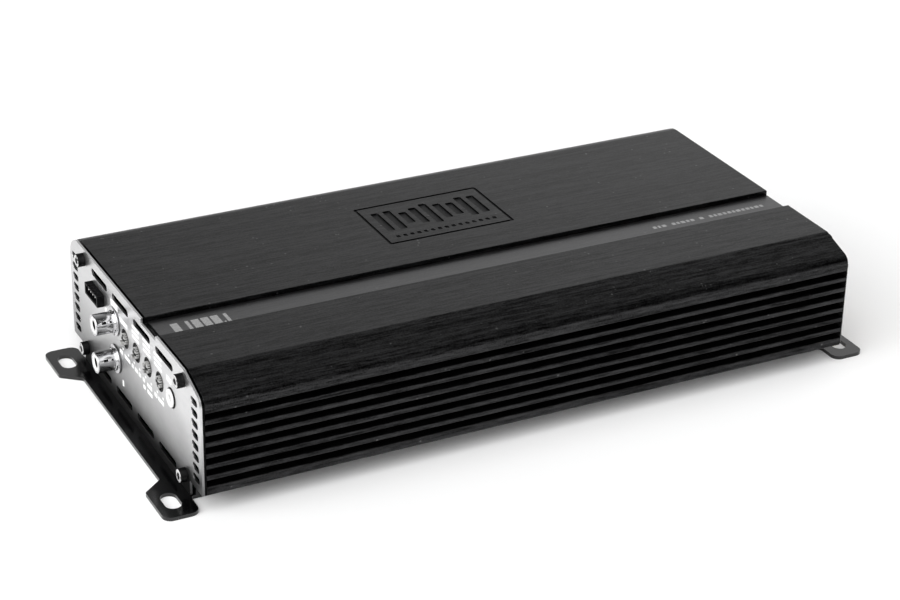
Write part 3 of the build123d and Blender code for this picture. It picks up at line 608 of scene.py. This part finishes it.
def end_outline(grow):
    """The terminal plate: set in from the shell's outline, with wider cheeks beside the grooves."""
    d = END_INSET + grow
    w, top = HALF_W - d, TOP_Z - d
    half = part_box("terminal_end_plate")[1].y / MM - grow
    low, high = BASE_Z + CHEEK_LOW + grow, BASE_Z + CHEEK_TOP - grow
    start = math.degrees(math.asin((high - TOP_Z + FAR_R) / (FAR_R - d)))
    bend = arc(HALF_W - FAR_R, TOP_Z - FAR_R, FAR_R - d, 90, start, 8)
    pts = [(-half, low), (-half, high), (-w, high), (-w, CHAMFER_Z - 0.725 * d), (0.16 * d - CREASE, top)]
    c0, c1, notch = CHANNEL_Y0 - d, CHANNEL_Y1 + d, top - NOTCH_DEPTH
    pts += [(c0, top), (c0, notch), (c1, notch), (c1, top)]
    rad = [0.3, 0.3, 0.0, 3.8, 1.8, 0.3, 0.2, 0.2, 0.3] + [0.0] * len(bend)
    tip = TONGUE - d
    pts += bend + [(half, high), (half, low), (tip, low), (tip, TRAY_T + d), (-tip, TRAY_T + d), (-tip, low)]
    return rounded(pts, rad + [0.3, 0.3, 0.2, 0.3, 0.3, 0.2], 6)


def shell_loop():
    """The extrusion's section: grooves each side, the top channel, and the open underside with its ports."""
    tops = [GROOVE_TOP - GROOVE_PITCH * i for i in range(GROOVES)]
    root = HALF_W - GROOVE_DEPTH
    groove_rad = [0.3, 0.45, 0.45, 0.3]
    pts, rad = [(-HALF_W, BASE_Z)], [0.5]
    for top in reversed(tops):
        pts += [(-HALF_W, top - GROOVE_H), (-root, top - GROOVE_H), (-root, top), (-HALF_W, top)]
        rad += groove_rad
    floor = TOP_Z - CHANNEL_DEPTH
    pts += [(-HALF_W, CHAMFER_Z), (-CREASE, TOP_Z), (CHANNEL_Y0, TOP_Z), (CHANNEL_Y0, floor),
            (CHANNEL_Y1, floor), (CHANNEL_Y1, TOP_Z), (HALF_W, TOP_Z)]
    rad += [5.0, 3.0, 0.25, 0.2, 0.2, 0.25, FAR_R]
    for top in tops:
        pts += [(HALF_W, top), (root, top), (root, top - GROOVE_H), (HALF_W, top - GROOVE_H)]
        rad += groove_rad
    loop = rounded(pts + [(HALF_W, BASE_Z)], rad + [0.5], 6)
    high, low = SCREW_ZS
    path = [(58.2, BASE_Z)] + arc(SCREW_Y, low, 2.9, -10, 90, 8)[2:]
    path += [(SCREW_Y, 12.0), (WALL_Y, 12.0), (WALL_Y, 44.0)]
    path += arc(SCREW_Y, high, 3.4, 0, -176, 12) + [(51.0, 48.2)]
    return loop + path + [(-y, z) for y, z in reversed(path)]


def port_loops():
    return [circle_loop(s * SCREW_Y, z, 1.55, 16) for s in (-1, 1) for z in SCREW_ZS]


# ---------------------------------------------------------------- heatsink shell
def grown(x, y, length, width, grow, radius):
    """A rectangle about a centre, made larger or smaller all round."""
    return rect_loop(x - length / 2 - grow, x + length / 2 + grow, y - width / 2 - grow,
                     y + width / 2 + grow, radius)


def build_shell():
    """The extrusion with a sunk badge: a frame line, nine bars and a row of dashes."""
    mesh = sheet_mesh("shell_body", [shell_loop()] + port_loops(), SHELL_X0, SHELL_X1)
    bx, by, length, width = 1.0, 25.4, 56.8, 36.4
    rim, span, bars, dashes, gap = 1.2, 44.0, 9, 15, 0.04

    def frame_loops(e):
        return [grown(bx, by, length, width, -e, 0.8), grown(bx, by, length, width, e - rim, 0.5)]

    cutters = [sheet_mesh("c0", frame_loops(0.0), TOP_Z - 0.5, TOP_Z + 1, "z")]
    lines = [sheet_mesh("l0", frame_loops(gap), TOP_Z - 0.52, TOP_Z - 0.4, "z")]
    fills = []
    for i in range(bars):
        x = bx - span / 2 + span * i / (bars - 1)
        tall = 19.0 * (0.42 + 0.58 * abs(math.sin(1.05 + i * 0.93)))
        loops = [grown(x, by + 2.6, 3.4, tall, -e, 0.5) for e in (0.0, gap)]
        cutters.append(sheet_mesh("c", loops[:1], TOP_Z - 0.8, TOP_Z + 1, "z"))
        fills.append(sheet_mesh("f", loops[1:], TOP_Z - 0.82, TOP_Z - 0.74, "z"))
    for i in range(dashes):
        x = bx - span / 2 + span * i / (dashes - 1)
        loops = [grown(x, by - 12.4, 1.6, 2.0, -e, 0.3) for e in (0.0, gap)]
        cutters.append(sheet_mesh("d", loops[:1], TOP_Z - 0.4, TOP_Z + 1, "z"))
        lines.append(sheet_mesh("e", loops[1:], TOP_Z - 0.42, TOP_Z - 0.34, "z"))
    obj = to_object("shell_body", cut(mesh, cutters), M_SHELL, "amplifier", 0.14, 2, 40)
    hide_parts("heatsink_shell")
    to_object("badge_lines", join(lines, "badge_lines"), M_BLACK, "amplifier")
    to_object("badge_fills", join(fills, "badge_fills"), M_RECESS, "amplifier")


def build_strip():
    """The satin strip in the top channel, with plain printed blocks near its two ends."""
    lo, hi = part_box("label_strip")
    z1 = hi.z / MM
    mesh = sheet_mesh("strip_body", [rect_loop(lo.y / MM, hi.y / MM, lo.z / MM, z1, 0.1)],
                      SHELL_X0 + 1.0, SHELL_X1)
    obj = to_object("strip_body", mesh, M_STRIP, "amplifier", 0.2, 2, 40)
    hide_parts("label_strip")
    marks = []

    def mark(x, w, y0, y1, radius):
        marks.append(sheet_mesh("m", [rect_loop(x, x + w, y0, y1, radius)], z1, z1 + INK_T, "z"))

    y0, y1 = CHANNEL_Y0 + 2.9, CHANNEL_Y0 + 10.0
    x = SHELL_X0 + 7.4
    for w, gap in ((3.0, 2.9), (1.4, 1.0), (3.1, 0.8), (3.1, 0.8), (3.1, 0.7), (0.8, 0.7), (1.4, 0)):
        mark(x, w, y0, y1 if w > 1 else y0 + 1.2, 0.3)
        x += w + gap
    x = SHELL_X1 - 61.5
    spaces = (3, 9, 11)
    for i in range(24):
        w = (1.6, 1.2, 1.9, 1.4)[i % 4]
        if i not in spaces:
            mark(x, w, CHANNEL_Y0 + 6.4, CHANNEL_Y0 + 8.4, 0.2)
        x += w + 0.75
    to_object("strip_marks", join(marks, "strip_marks"), M_INK_DIM, "amplifier")


# ---------------------------------------------------------------- end plates
def plate_loops(outline, extra):
    """An end plate's outline, its two rows of slots, its screw holes and any further holes."""
    loops = [outline]
    for y in (-36, -12, 12, 36):
        loops += [slot_loop(y, z, SLOT_L, SLOT_H) for z in (47.9, 6.75)]
    loops += [circle_loop(s * SCREW_Y, z, 1.6, 20) for s in (-1, 1) for z in SCREW_ZS]
    return loops + extra


def side_vents():
    return [slot_loop(s * 66.1, BASE_Z + 4.7 + 4.62 * i, VENT_L, VENT_H) for s in (-1, 1) for i in range(8)]


def build_control_plate():
    """The silver control plate with its openings, and plain printed blocks for its lettering."""
    extra = side_vents() + [circle_loop(RCA_Y, z, 4.6, 40) for z in RCA_ZS]
    extra += [circle_loop(y, POT_Z, POT_HOLE_R, 36) for y in POT_YS]
    extra.append(circle_loop(JACK.y, JACK.z, 4.2, 36))
    y0, y1 = HEADER_LO.y / MM - 0.1, HEADER_HI.y / MM + 0.1
    extra.append(rect_loop(y0, y1, HEADER_HI.z / MM - 5.1, HEADER_HI.z / MM + 0.1, 0.3))
    mesh = sheet_mesh("control_plate", plate_loops(plate_outline(), extra), PLATE_OUT, PLATE_IN)
    obj = to_object("control_plate", mesh, M_PLATE, "amplifier", 0.12, 2, 50)
    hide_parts("control_end_plate")
    marks = []

    def bar(y0, y1, z0, z1):
        marks.append(sheet_mesh("m", [rect_loop(min(y0, y1), max(y0, y1), z0, z1, 0.15)],
                                PLATE_OUT - INK_T, PLATE_OUT))

    blocks = {-1.0: -8.6, -13.0: -21.0, -25.0: -33.0}
    for a, b in blocks.items():
        for z0, z1 in ((40.3, 41.6), (42.5, 43.7), (44.7, 45.9)):
            bar(a, b, z0, z1)
    bar(13.0, 4.2, 40.4, 42.6)
    bar(-38.0, -43.2, 40.2, 42.4)
    bar(23.0, 15.0, 43.2, 46.0)
    for y in POT_YS:
        bar(y - 2.4, y - 3.7, 29.0, 29.9)
        bar(y + 3.7, y + 2.4, 29.0, 29.9)
    for a, b in ((14.5, 11.2), (9.0, 2.6), (1.0, -1.0), (-2.5, -5.6), (-6.8, -9.2), (-11.2, -13.4),
                 (-16.2, -21.4), (-24.0, -27.0), (-28.0, -34.0)):
        bar(a, b, 26.3, 28.0)
    bar(-11.6, -14.0, 23.4, 25.0)
    bar(-16.0, -21.4, 23.4, 25.0)
    bar(30.4, 28.4, 35.6, 38.6)
    bar(13.0, 11.4, 12.0, 14.6)
    to_object("plate_marks", join(marks, "plate_marks"), M_INK, "amplifier")


def build_terminal_plate():
    """The terminal plate: a dark inner sheet and a silver outer one over a single CAD node."""
    def hole(node, grow=0.1):
        lo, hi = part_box(node)
        return rect_loop(lo.y / MM - grow, hi.y / MM + grow, lo.z / MM - grow, hi.z / MM + grow, 0.4)

    extra = [hole("power_terminal_housing"), hole("speaker_terminal_housing"), hole("fuse_holder")]
    led = centre("status_led")
    extra.append(circle_loop(led.y, led.z, 1.35, 20))
    mid = END_IN + 0.45
    back = sheet_mesh("terminal_back", plate_loops(end_outline(0.0), extra), END_IN, mid)
    to_object("terminal_back", back, M_GASKET, "amplifier", 0.05, 1, 50)
    mesh = sheet_mesh("terminal_plate", plate_loops(end_outline(0.3), extra), mid, END_OUT)
    obj = to_object("terminal_plate", mesh, M_PLATE, "amplifier", 0.1, 2, 50)
    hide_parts("terminal_end_plate")
    marks = []

    def mark(y, w, z0, z1, radius, thick=INK_T):
        loop = rect_loop(y - w / 2, y + w / 2, z0, z1, radius)
        marks.append(sheet_mesh("m", [loop], END_OUT, END_OUT + thick))

    for y, w in ((-9.5, 5.0), (3.0, 3.0), (15.5, 5.0), (35.5, 3.6), (46.5, 3.6), (-44, 3.0), (-32, 3.0)):
        mark(y, w, 15.4, 16.6, 0.15)
    for y in (-9.5, 46.5):
        mark(y, 0.6, 43.0, 45.4, 0.1)
        mark(y, 2.4, 43.9, 44.5, 0.1, 0.03)
    to_object("terminal_marks", join(marks, "terminal_marks"), M_INK, "amplifier")


# ---------------------------------------------------------------- tray
def build_tray():
    """The folded tray: a floor with four slotted feet, and a stepped rail along each side."""
    foot = [(141.1, TRAY_HALF), (141.1, 70.8), (155.3, 70.8), (155.3, 50.1), (147.2, 43.6)]
    foot_rad = [1.6, 3.6, 3.6, 1.6, 1.6]
    pts, rad = [], []
    for sx, sy in ((1, 1), (-1, 1), (-1, -1), (1, -1)):
        step = 1 if sx * sy < 0 else -1
        pts += [(sx * x, sy * y) for x, y in foot][::step]
        rad += foot_rad[::step]
    loops = [rounded(pts, rad, 6)]
    for x in (-FOOT_SLOT_X, FOOT_SLOT_X):
        for y in (-TRAY_HALF, TRAY_HALF):
            loops.append([(x + b, y + a) for a, b in slot_loop(0, 0, 11.5, 6.4, 10)])
    floor = sheet_mesh("tray_floor", loops, 0, TRAY_T, "z")
    rails = []
    for s in (-1, 1):
        prof = [(58.0, 1.2), (TRAY_HALF, 1.2), (TRAY_HALF, 6.5), (68.5, 6.5), (68.5, BASE_Z), (58.0, BASE_Z)]
        loop = rounded([(s * y, z) for y, z in prof], [0, 0, 0.5, 0.2, 0.2, 1.4], 4)
        rail = sheet_mesh("tray_side", [loop], SHELL_X0 + 0.2, SHELL_X1 - 0.2)
        hole = [(5, 0), (5, 1.7), (9, 1.7), (9, 0)]
        holes = [lathe_mesh("h", hole, x, s * 63.5, 20, "z") for x in (-120, -40, 40, 120)]
        rails.append(cut(rail, holes))
    mesh = cut(floor, rails, "UNION")
    obj = to_object("tray_body", mesh, M_TRAY, "amplifier", 0.22, 2, 50)
    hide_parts("bottom_tray")


# ---------------------------------------------------------------- fasteners
def cap_screw(side, x0, tall, y, z):
    """A knurled cap head with a hexagon socket, worn on its rim, and a threaded shank."""
    deep = tall * 0.45
    prof = [(0, 0), (0, 2.45), (0.12, HEAD_R), (tall - 0.4, HEAD_R), (tall - 0.1, 2.55), (tall, 2.3),
            (tall, 1.9), (tall, 1.2), (deep, 1.2), (deep - 0.2, 0)]
    head = lathe_mesh("s", [(t * side, r) for t, r in prof], y, z, 72, "x", x0)
    for v in head.vertices:
        dy, dz = v.co.y / MM - y, v.co.z / MM - z
        r = math.hypot(dy, dz)
        a = math.atan2(dz, dy)
        t = (v.co.x / MM - x0) * side
        k = 1.0
        if r > HEAD_R - 0.05 and 0.05 < t < tall - 0.3:
            k = 1 - 0.03 * (0.5 + 0.5 * math.cos(36 * a))
        elif 1.0 < r < 1.3 and t > deep - 0.1:
            s = math.pi / 3
            k = math.cos(s / 2) / math.cos((a % s) - s / 2) * SOCKET_R / r
        v.co.y = (y + dy * k) * MM
        v.co.z = (z + dz * k) * MM
    shank = [(0, 0)] + [(-0.55 * i, 1.5 if i % 2 == 0 else 1.28) for i in range(20)] + [(-12, 1.1), (-12, 0)]
    return [head, lathe_mesh("k", [(t * side, r) for t, r in shank], y, z, 24, "x", x0)]


def build_cap_screws(side, x0, tall, name, node):
    ms = []
    for sy in (-1, 1):
        for z in SCREW_ZS:
            ms += cap_screw(side, x0, tall, sy * SCREW_Y, z)
    obj = to_object(name, join(ms, name), M_SCREW, "amplifier", 0.05, 1, 50)
    lay = obj.data.attributes["edge"]
    for p in obj.data.polygons:
        t = (p.center.x / MM - x0) * side
        lay.data[p.index].value = 1.0 if t > tall - 0.12 else 0.0
    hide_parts(node)


# ---------------------------------------------------------------- line inputs
def at_input(mesh, z, degrees):
    """Turns a mesh about the X axis and moves it onto a line input's axis."""
    shift = Matrix.Translation((0, RCA_Y * MM, z * MM))
    mesh.transform(shift @ Matrix.Rotation(math.radians(degrees), 4, "X"))
    return mesh


def build_rca():
    """Two line inputs: a chrome barrel with windows, a white ring and a split centre contact."""
    xf = PLATE_OUT - BARREL_REACH
    barrel = [(0, 3.62), (0, 4.12), (0.12, 4.27), (0.35, BARREL_R), (6.6, BARREL_R), (6.8, 4.16), (7.1, 4.16),
              (7.25, 4.5), (7.95, 4.6), (8.02, 5.85), (8.1, FLANGE_R), (8.3, FLANGE_R), (8.38, 5.85),
              (8.42, 4.9), (8.7, 4.9), (8.7, BARREL_R), (10.6, BARREL_R), (10.6, 3.62)]
    ring = [(0.35, 2.05), (0.0, 2.3), (-0.05, 2.6), (-0.05, 3.35), (0.0, 3.6), (9.4, 3.6), (9.4, 2.05)]
    throat = [(0.5, 2.0), (0.5, 2.045), (9.2, 2.045), (9.2, 2.0)]
    core = [(2.0, 1.66), (1.95, 1.8), (2.05, 1.98), (9.4, 1.98), (9.4, 1.66)]
    shells, rings, cores, darks = [], [], [], []
    for z in RCA_ZS:
        pockets = []
        for a in (152, 272, 32):
            for t, wide, high in ((3.3, 0.95, 0.5), (6.0, 0.4, 0.4)):
                x0, x1 = xf + t - wide, xf + t + wide
                pockets.append(at_input(box_mesh("d", x0, x1, 3.66, 5, -high, high), z, a))
                dark = box_mesh("w", x0 + 0.05, x1 - 0.05, 3.75, 3.98, 0.05 - high, high - 0.05)
                darks.append(at_input(dark, z, a))
        shells.append(cut(lathe_mesh("b", barrel, RCA_Y, z, 96, "x", xf), pockets))
        rings.append(lathe_mesh("r", ring, RCA_Y, z, 72, "x", xf + 0.1))
        darks.append(lathe_mesh("t", throat, RCA_Y, z, 48, "x", xf))
        splits = [at_input(box_mesh("q", xf + 0.5, xf + 5.5, -2.4, 2.4, -0.16, 0.16), z, a)
                  for a in (30, 120)]
        cores.append(cut(lathe_mesh("c", core, RCA_Y, z, 48, "x", xf), splits))
    a = to_object("line_barrels", join(shells, "line_barrels"), M_CHROME, "amplifier", 0.05, 2, 30)
    b = to_object("line_rings", join(rings, "line_rings"), M_WHITE, "amplifier", 0.06, 2, 30)
    c = to_object("line_contacts", join(cores, "line_contacts"), M_CONTACT, "amplifier", 0.03, 1, 40)
    to_object("line_windows", join(darks, "line_windows"), M_BLACK, "amplifier")
    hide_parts("rca_shells")
    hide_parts("rca_insulators")
    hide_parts("rca_centre_contacts")


# ---------------------------------------------------------------- controls
def build_pots():
    """Four toothed controls with a cross slot, each riding its own body, in dark wells."""
    bodies = ("gain_knob", "crossover_knob", "boost_knob", "phase_knob")
    lo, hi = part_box(POTS[0])
    x0, x1 = lo.x / MM, hi.x / MM
    length = x1 - x0
    r_head = (hi.z - lo.z) / 2 / MM - 0.2
    rim = r_head - 0.5
    tooth = (0.0, 0.0, 0.12, 0.6, 0.6, 0.12)
    points = 14 * len(tooth)
    arm, reach = 0.6, r_head * 0.84
    fill, inner = arm - 0.03, reach - 0.03
    crown = [(0.3, 0), (0, 0.5), (0, r_head - 0.75), (0.25, rim), (0.9, rim), (0.9, 0)]
    shaft = [(2.2, 0), (2.2, 1.8), (length - 0.3, 1.8), (length, 1.5), (length, 0)]
    groove = [(0.4, r_head - 0.62), (0.4, rim), (2.1, rim), (2.1, r_head - 0.62)]
    well = [(-0.04, 3.4), (-0.04, 4.0), (0.0, 4.0), (0.0, 3.74), (0.75, 3.74), (0.75, 2.7), (0.3, 2.7),
            (0.3, 3.4)]
    for y, node, body in zip(POT_YS, POTS, bodies):
        loop = []
        for i in range(points):
            a = 2 * math.pi * i / points
            r = r_head - tooth[i % len(tooth)]
            loop.append((y + r * math.cos(a), POT_Z + r * math.sin(a)))
        head = sheet_mesh("k", [loop], x0 + 0.15, x0 + 2.2)
        cross = [box_mesh("c", x0 - 1, x0 + 0.9, y - reach, y + reach, POT_Z - arm, POT_Z + arm),
                 box_mesh("c", x0 - 1, x0 + 0.9, y - arm, y + arm, POT_Z - reach, POT_Z + reach)]
        head = cut(cut(head, [lathe_mesh("w", crown, y, POT_Z, 48, "x", x0)], "UNION"), cross)
        tag = "knob_" + node.split("_")[0]
        mesh = join([head, lathe_mesh("s", shaft, y, POT_Z, 32, "x", x0)], "knob")
        obj = to_object(tag, mesh, M_GREY, body, 0.05, 2, 40)
        liner = [box_mesh("l", x0 + 0.08, x0 + 0.88, y - inner, y + inner, POT_Z - fill, POT_Z + fill),
                 box_mesh("l", x0 + 0.09, x0 + 0.87, y - fill, y + fill, POT_Z - inner, POT_Z + inner),
                 lathe_mesh("g", groove, y, POT_Z, 48, "x", x0)]
        to_object(tag + "_slot", join(liner, "slot"), M_BLACK, body, 0.03, 1, 40)
        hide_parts(node)
    wells = [lathe_mesh("w", well, y, POT_Z, 48, "x", PLATE_OUT) for y in POT_YS]
    to_object("pot_collars", join(wells, "pot_collars"), M_BLACK, "amplifier", 0.05, 1, 40)


def build_jack():
    """The round jack: white ring, black rim, white throat and a bored case behind the plate."""
    lo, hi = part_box("remote_jack_nut")
    x0, x1 = lo.x / MM, hi.x / MM
    w = x1 - x0
    back = w + 3.0

    def turned(tag, profile, n):
        return lathe_mesh(tag, profile, JACK.y, JACK.z, n, "x", x0)

    prof = [(0.05, 3.04), (0.02, 3.2), (0.1, 3.5), (0.3, 3.62), (0.62, 3.62), (0.62, 3.04)]
    dome = to_object("jack_ring", turned("n", prof, 72), M_WHITE, "amplifier", 0.05, 2, 35)
    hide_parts("remote_jack_nut")
    prof = [(0.64, 3.04), (0.64, 3.85), (0.74, 4.0), (w, 4.0), (w, 3.04)]
    to_object("jack_rim", turned("n", prof, 72), M_BLACK, "amplifier", 0.03, 1, 35)
    prof = [(0.9, 1.32), (0.4, 1.4), (0.2, 1.6), (0.08, 1.9), (0.0, 2.4), (0.02, 2.85), (0.1, 3.0),
            (back, 3.0), (back, 1.32)]
    to_object("jack_throat", turned("t", prof, 64), M_WHITE, "amplifier", 0.05, 2, 35)
    blo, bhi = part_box("remote_jack_body")
    half = (bhi.y - blo.y) / 2 / MM
    body = box_mesh("b", x1 + 0.02, bhi.x / MM, JACK.y - half, JACK.y + half, blo.z / MM, bhi.z / MM)
    bore = turned("h", [(-5, 0), (-5, 3.01), (back, 3.01), (back, 1.32), (w + 9.0, 1.32), (w + 9.0, 0)], 48)
    case = to_object("jack_case", cut(body, [bore]), M_BLACK, "amplifier", 0.25, 2, 40)
    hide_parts("remote_jack_body")


def build_header():
    """The five-way header: an open box with notches along its top wall, and a foot on the board side."""
    x0, x1 = HEADER_LO.x / MM, HEADER_HI.x / MM
    y0, y1 = HEADER_LO.y / MM, HEADER_HI.y / MM
    z1 = HEADER_HI.z / MM
    z0 = z1 - 5.0
    body = box_mesh("h", x0, x1, y0, y1, z0, z1)
    cuts = [box_mesh("c", x0 - 1, x0 + 6.0, y0 + 0.8, y1 - 0.8, z0 + 0.8, z1 - 0.8)]
    for i in range(4):
        y = (y0 + y1) / 2 - 1.5 * PIN_PITCH + PIN_PITCH * i
        cuts.append(box_mesh("c", x0 - 1, x0 + 1.6, y - 0.45, y + 0.45, z1 - 0.9, z1 + 1))
    foot = box_mesh("f", SHELL_X0 + 0.2, x1, y0, y1, HEADER_LO.z / MM, z0 + 0.5)
    mesh = cut(body, cuts)
    mesh = cut(mesh, [foot], "UNION")
    obj = to_object("header_shell", mesh, M_BLACK, "amplifier", 0.1, 2, 40)
    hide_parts("high_level_header")


# ---------------------------------------------------------------- pieces that follow their CAD nodes
SOFTENED = {
    "tray_screws": (M_SCREW, 0.1), "header_pins": (M_TIN, 0.12), "rca_block": (M_BLACK, 0.3),
    "control_pot_bodies": (M_BLACK, 0.25),
    "power_terminal_housing": (M_BLACK, 0.3), "power_terminal_barrels": (M_NICKEL, 0.2),
    "power_terminal_screws": (M_STEEL, 0.15), "speaker_terminal_housing": (M_BLACK, 0.3),
    "speaker_terminal_barrels": (M_NICKEL, 0.2), "speaker_terminal_screws": (M_STEEL, 0.15),
    "fuse_holder": (M_BLACK, 0.25), "fuse_clips": (M_CONTACT, 0.06), "blade_fuse_a": (M_FUSE, 0.2),
    "blade_fuse_b": (M_FUSE, 0.2), "status_led": (M_LAMP, 0.2), "board_screws": (M_STEEL, 0.12),
    "preamp_standoffs": (M_BRASS, 0.12), "transformer_core": (M_FERRITE, 0.6),
    "inductor_core": (M_FERRITE, 0.5), "reservoir_capacitors": (M_SLEEVE, 0.5),
    "power_transistors": (M_BLACK, 0.15), "clamp_bars": (M_STEEL, 0.2), "clamp_screws": (M_STEEL, 0.12),
}
PAINTED = {
    "control_end_gasket": M_GASKET, "main_board": M_BOARD, "preamp_board": M_BOARD, "thermal_pads": M_PAD,
}
BODY_OF = {"blade_fuse_a": "fuse_a", "blade_fuse_b": "fuse_b"}
WINDING_BORE = {"transformer_winding": 10.0 / 24.0, "inductor_winding": 7.5 / 18.0}


def soften(node, mat, width):
    """A copy of a CAD node with its hard edges eased, riding the same body."""
    src = nodes[node]
    bm = bmesh.new()
    bm.from_mesh(src.data)
    bm.transform(src.matrix_world)
    bmesh.ops.remove_doubles(bm, verts=bm.verts, dist=0.000001)
    bmesh.ops.dissolve_limit(bm, angle_limit=math.radians(1), verts=bm.verts, edges=bm.edges)
    mesh = bpy.data.meshes.new(node + "_eased")
    bm.to_mesh(mesh)
    bm.free()
    obj = to_object(node + "_eased", mesh, mat, BODY_OF.get(node, "amplifier"), width, 2, 32)
    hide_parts(node)


def build_winding(core, node, turns):
    """Wire turns around a ring core, kept inside the winding's own outline."""
    lo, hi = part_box(node)
    clo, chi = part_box(core)
    cx, cy = centre(core).x, centre(core).y
    t = (hi.z - lo.z) / 2 / MM - (chi.z - clo.z) / 2 / MM
    r_out = (chi.x - clo.x) / 2 / MM
    r_in = r_out * WINDING_BORE[node]
    z0, z1 = lo.z / MM, hi.z / MM
    wire = t * 0.48
    covered = math.radians(320.0)
    squeeze = min(1.0, r_in * covered / turns / (2 * wire) + 0.2)
    path = rounded([(r_in - t / 2, z0 + t / 2), (r_out + t / 2, z0 + t / 2), (r_out + t / 2, z1 - t / 2),
                    (r_in - t / 2, z1 - t / 2)], [t * 0.9] * 4, 4)
    bm = bmesh.new()
    sides = 6
    for i in range(turns):
        a = covered * (i + 0.5) / turns
        rings = []
        n = len(path)
        for j, (r, z) in enumerate(path):
            tx = path[(j + 1) % n][0] - path[j - 1][0]
            tz = path[(j + 1) % n][1] - path[j - 1][1]
            ln = math.hypot(tx, tz)
            nr, nz = tz / ln, -tx / ln
            ring = []
            for q in range(sides):
                b = 2 * math.pi * q / sides
                rr = r + nr * wire * math.cos(b)
                zz = z + nz * wire * math.cos(b)
                side = wire * math.sin(b) * squeeze
                x = cx + rr * math.cos(a) - side * math.sin(a)
                y = cy + rr * math.sin(a) + side * math.cos(a)
                ring.append(bm.verts.new((x * MM, y * MM, zz * MM)))
            rings.append(ring)
        for j in range(n):
            u, v = rings[j], rings[(j + 1) % n]
            for q in range(sides):
                bm.faces.new((u[q], u[(q + 1) % sides], v[(q + 1) % sides], v[q]))
    mesh = bpy.data.meshes.new(node + "_turns")
    bm.to_mesh(mesh)
    bm.free()
    obj = to_object(node + "_turns", mesh, M_COPPER, "amplifier")
    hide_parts(node)


def finish_nodes():
    """Eased copies, wire turns for the windings, and new materials on the nodes kept as they are."""
    for node, (mat, width) in SOFTENED.items():
        soften(node, mat, width)
    build_winding("transformer_core", "transformer_winding", 34)
    build_winding("inductor_core", "inductor_winding", 30)
    for node, mat in PAINTED.items():
        for s in nodes[node].material_slots:
            s.link = "OBJECT"
            s.material = mat


# ---------------------------------------------------------------- stage, light, camera
def build_stage():
    """A pale round floor, built from rings."""
    bm = bmesh.new()
    n = 48
    verts = [[bm.verts.new((r * math.cos(2 * math.pi * i / n), r * math.sin(2 * math.pi * i / n), 0))
              for i in range(n)] for r in (0.6, 1.5, 4.0, 14.0)]
    mid = bm.verts.new((0, 0, 0))
    for i in range(n):
        bm.faces.new((mid, verts[0][i], verts[0][(i + 1) % n]))
        for a, b in zip(verts, verts[1:]):
            bm.faces.new((a[i], b[i], b[(i + 1) % n], a[(i + 1) % n]))
    mesh = bpy.data.meshes.new("floor")
    bm.to_mesh(mesh)
    bm.free()
    obj = bpy.data.objects.new("floor", mesh)
    bpy.context.scene.collection.objects.link(obj)
    k = Mat("floor_white", rough=0.8, spec=0.1)
    f = k.noise(k.scaled(1, 1, 1), 6.0, 3.0)
    k.color(k.mix(f, (0.93, 0.93, 0.93, 1), (0.96, 0.96, 0.96, 1)))
    mesh.materials.append(k.m)


def build_light():
    """Two wide suns, high front left and low left; the sky brightens towards the low back right."""
    for name, energy, spread, towards in (("key", 4.0, 90, (-0.55, -0.45, 0.70)),
                                          ("fill", 1.3, 60, (-0.97, 0.12, 0.22))):
        sun = bpy.data.lights.new(name, "SUN")
        sun.energy = energy
        sun.angle = math.radians(spread)
        o = bpy.data.objects.new(name, sun)
        bpy.context.scene.collection.objects.link(o)
        o.rotation_euler = Vector(towards).to_track_quat("Z", "Y").to_euler()
    w = bpy.data.worlds.new("studio")
    bpy.context.scene.world = w
    w.use_nodes = True
    nt = w.node_tree
    tc = nt.nodes.new("ShaderNodeTexCoord")
    dot = nt.nodes.new("ShaderNodeVectorMath")
    dot.operation = "DOT_PRODUCT"
    az, el = math.radians(50), math.radians(10)
    dot.inputs[1].default_value = (math.sin(az) * math.cos(el), math.cos(az) * math.cos(el), math.sin(el))
    ramp = nt.nodes.new("ShaderNodeValToRGB")
    nt.links.new(tc.outputs["Generated"], dot.inputs[0])
    nt.links.new(dot.outputs["Value"], ramp.inputs["Fac"])
    stops = [(0.0, 0.05), (0.28, 0.05), (0.69, 0.40), (0.84, 0.62), (0.93, 0.92), (1.0, 1.0)]
    els = ramp.color_ramp.elements
    els[0].position, els[1].position = stops[0][0], stops[-1][0]
    els[0].color, els[1].color = [(v, v, v, 1) for v in (stops[0][1], stops[-1][1])]
    for pos, v in stops[1:-1]:
        els.new(pos).color = (v, v, v, 1)
    bg = nt.nodes["Background"]
    nt.links.new(ramp.outputs["Color"], bg.inputs["Color"])


def build_camera():
    cam = bpy.data.cameras.new("camera")
    cam.sensor_width = 36.0
    cam.lens = 94.39
    cam.clip_start = 0.01
    cam.clip_end = 50.0
    o = bpy.data.objects.new("camera", cam)
    bpy.context.scene.collection.objects.link(o)
    o.location = (-0.39989, -0.76640, 0.46494)
    o.rotation_euler = (1.1005068, -0.0187258, -0.4677184)
    bpy.context.scene.camera = o


build_shell()
build_strip()
build_control_plate()
build_terminal_plate()
build_tray()
build_cap_screws(-1, PLATE_OUT, 3.0, "control_caps", "control_plate_screws")
build_cap_screws(1, END_OUT, 1.6, "terminal_caps", "terminal_plate_screws")
build_rca()
build_pots()
build_jack()
build_header()
finish_nodes()
build_stage()
build_light()
build_camera()
bpy.context.scene.view_settings.view_transform = "Standard"
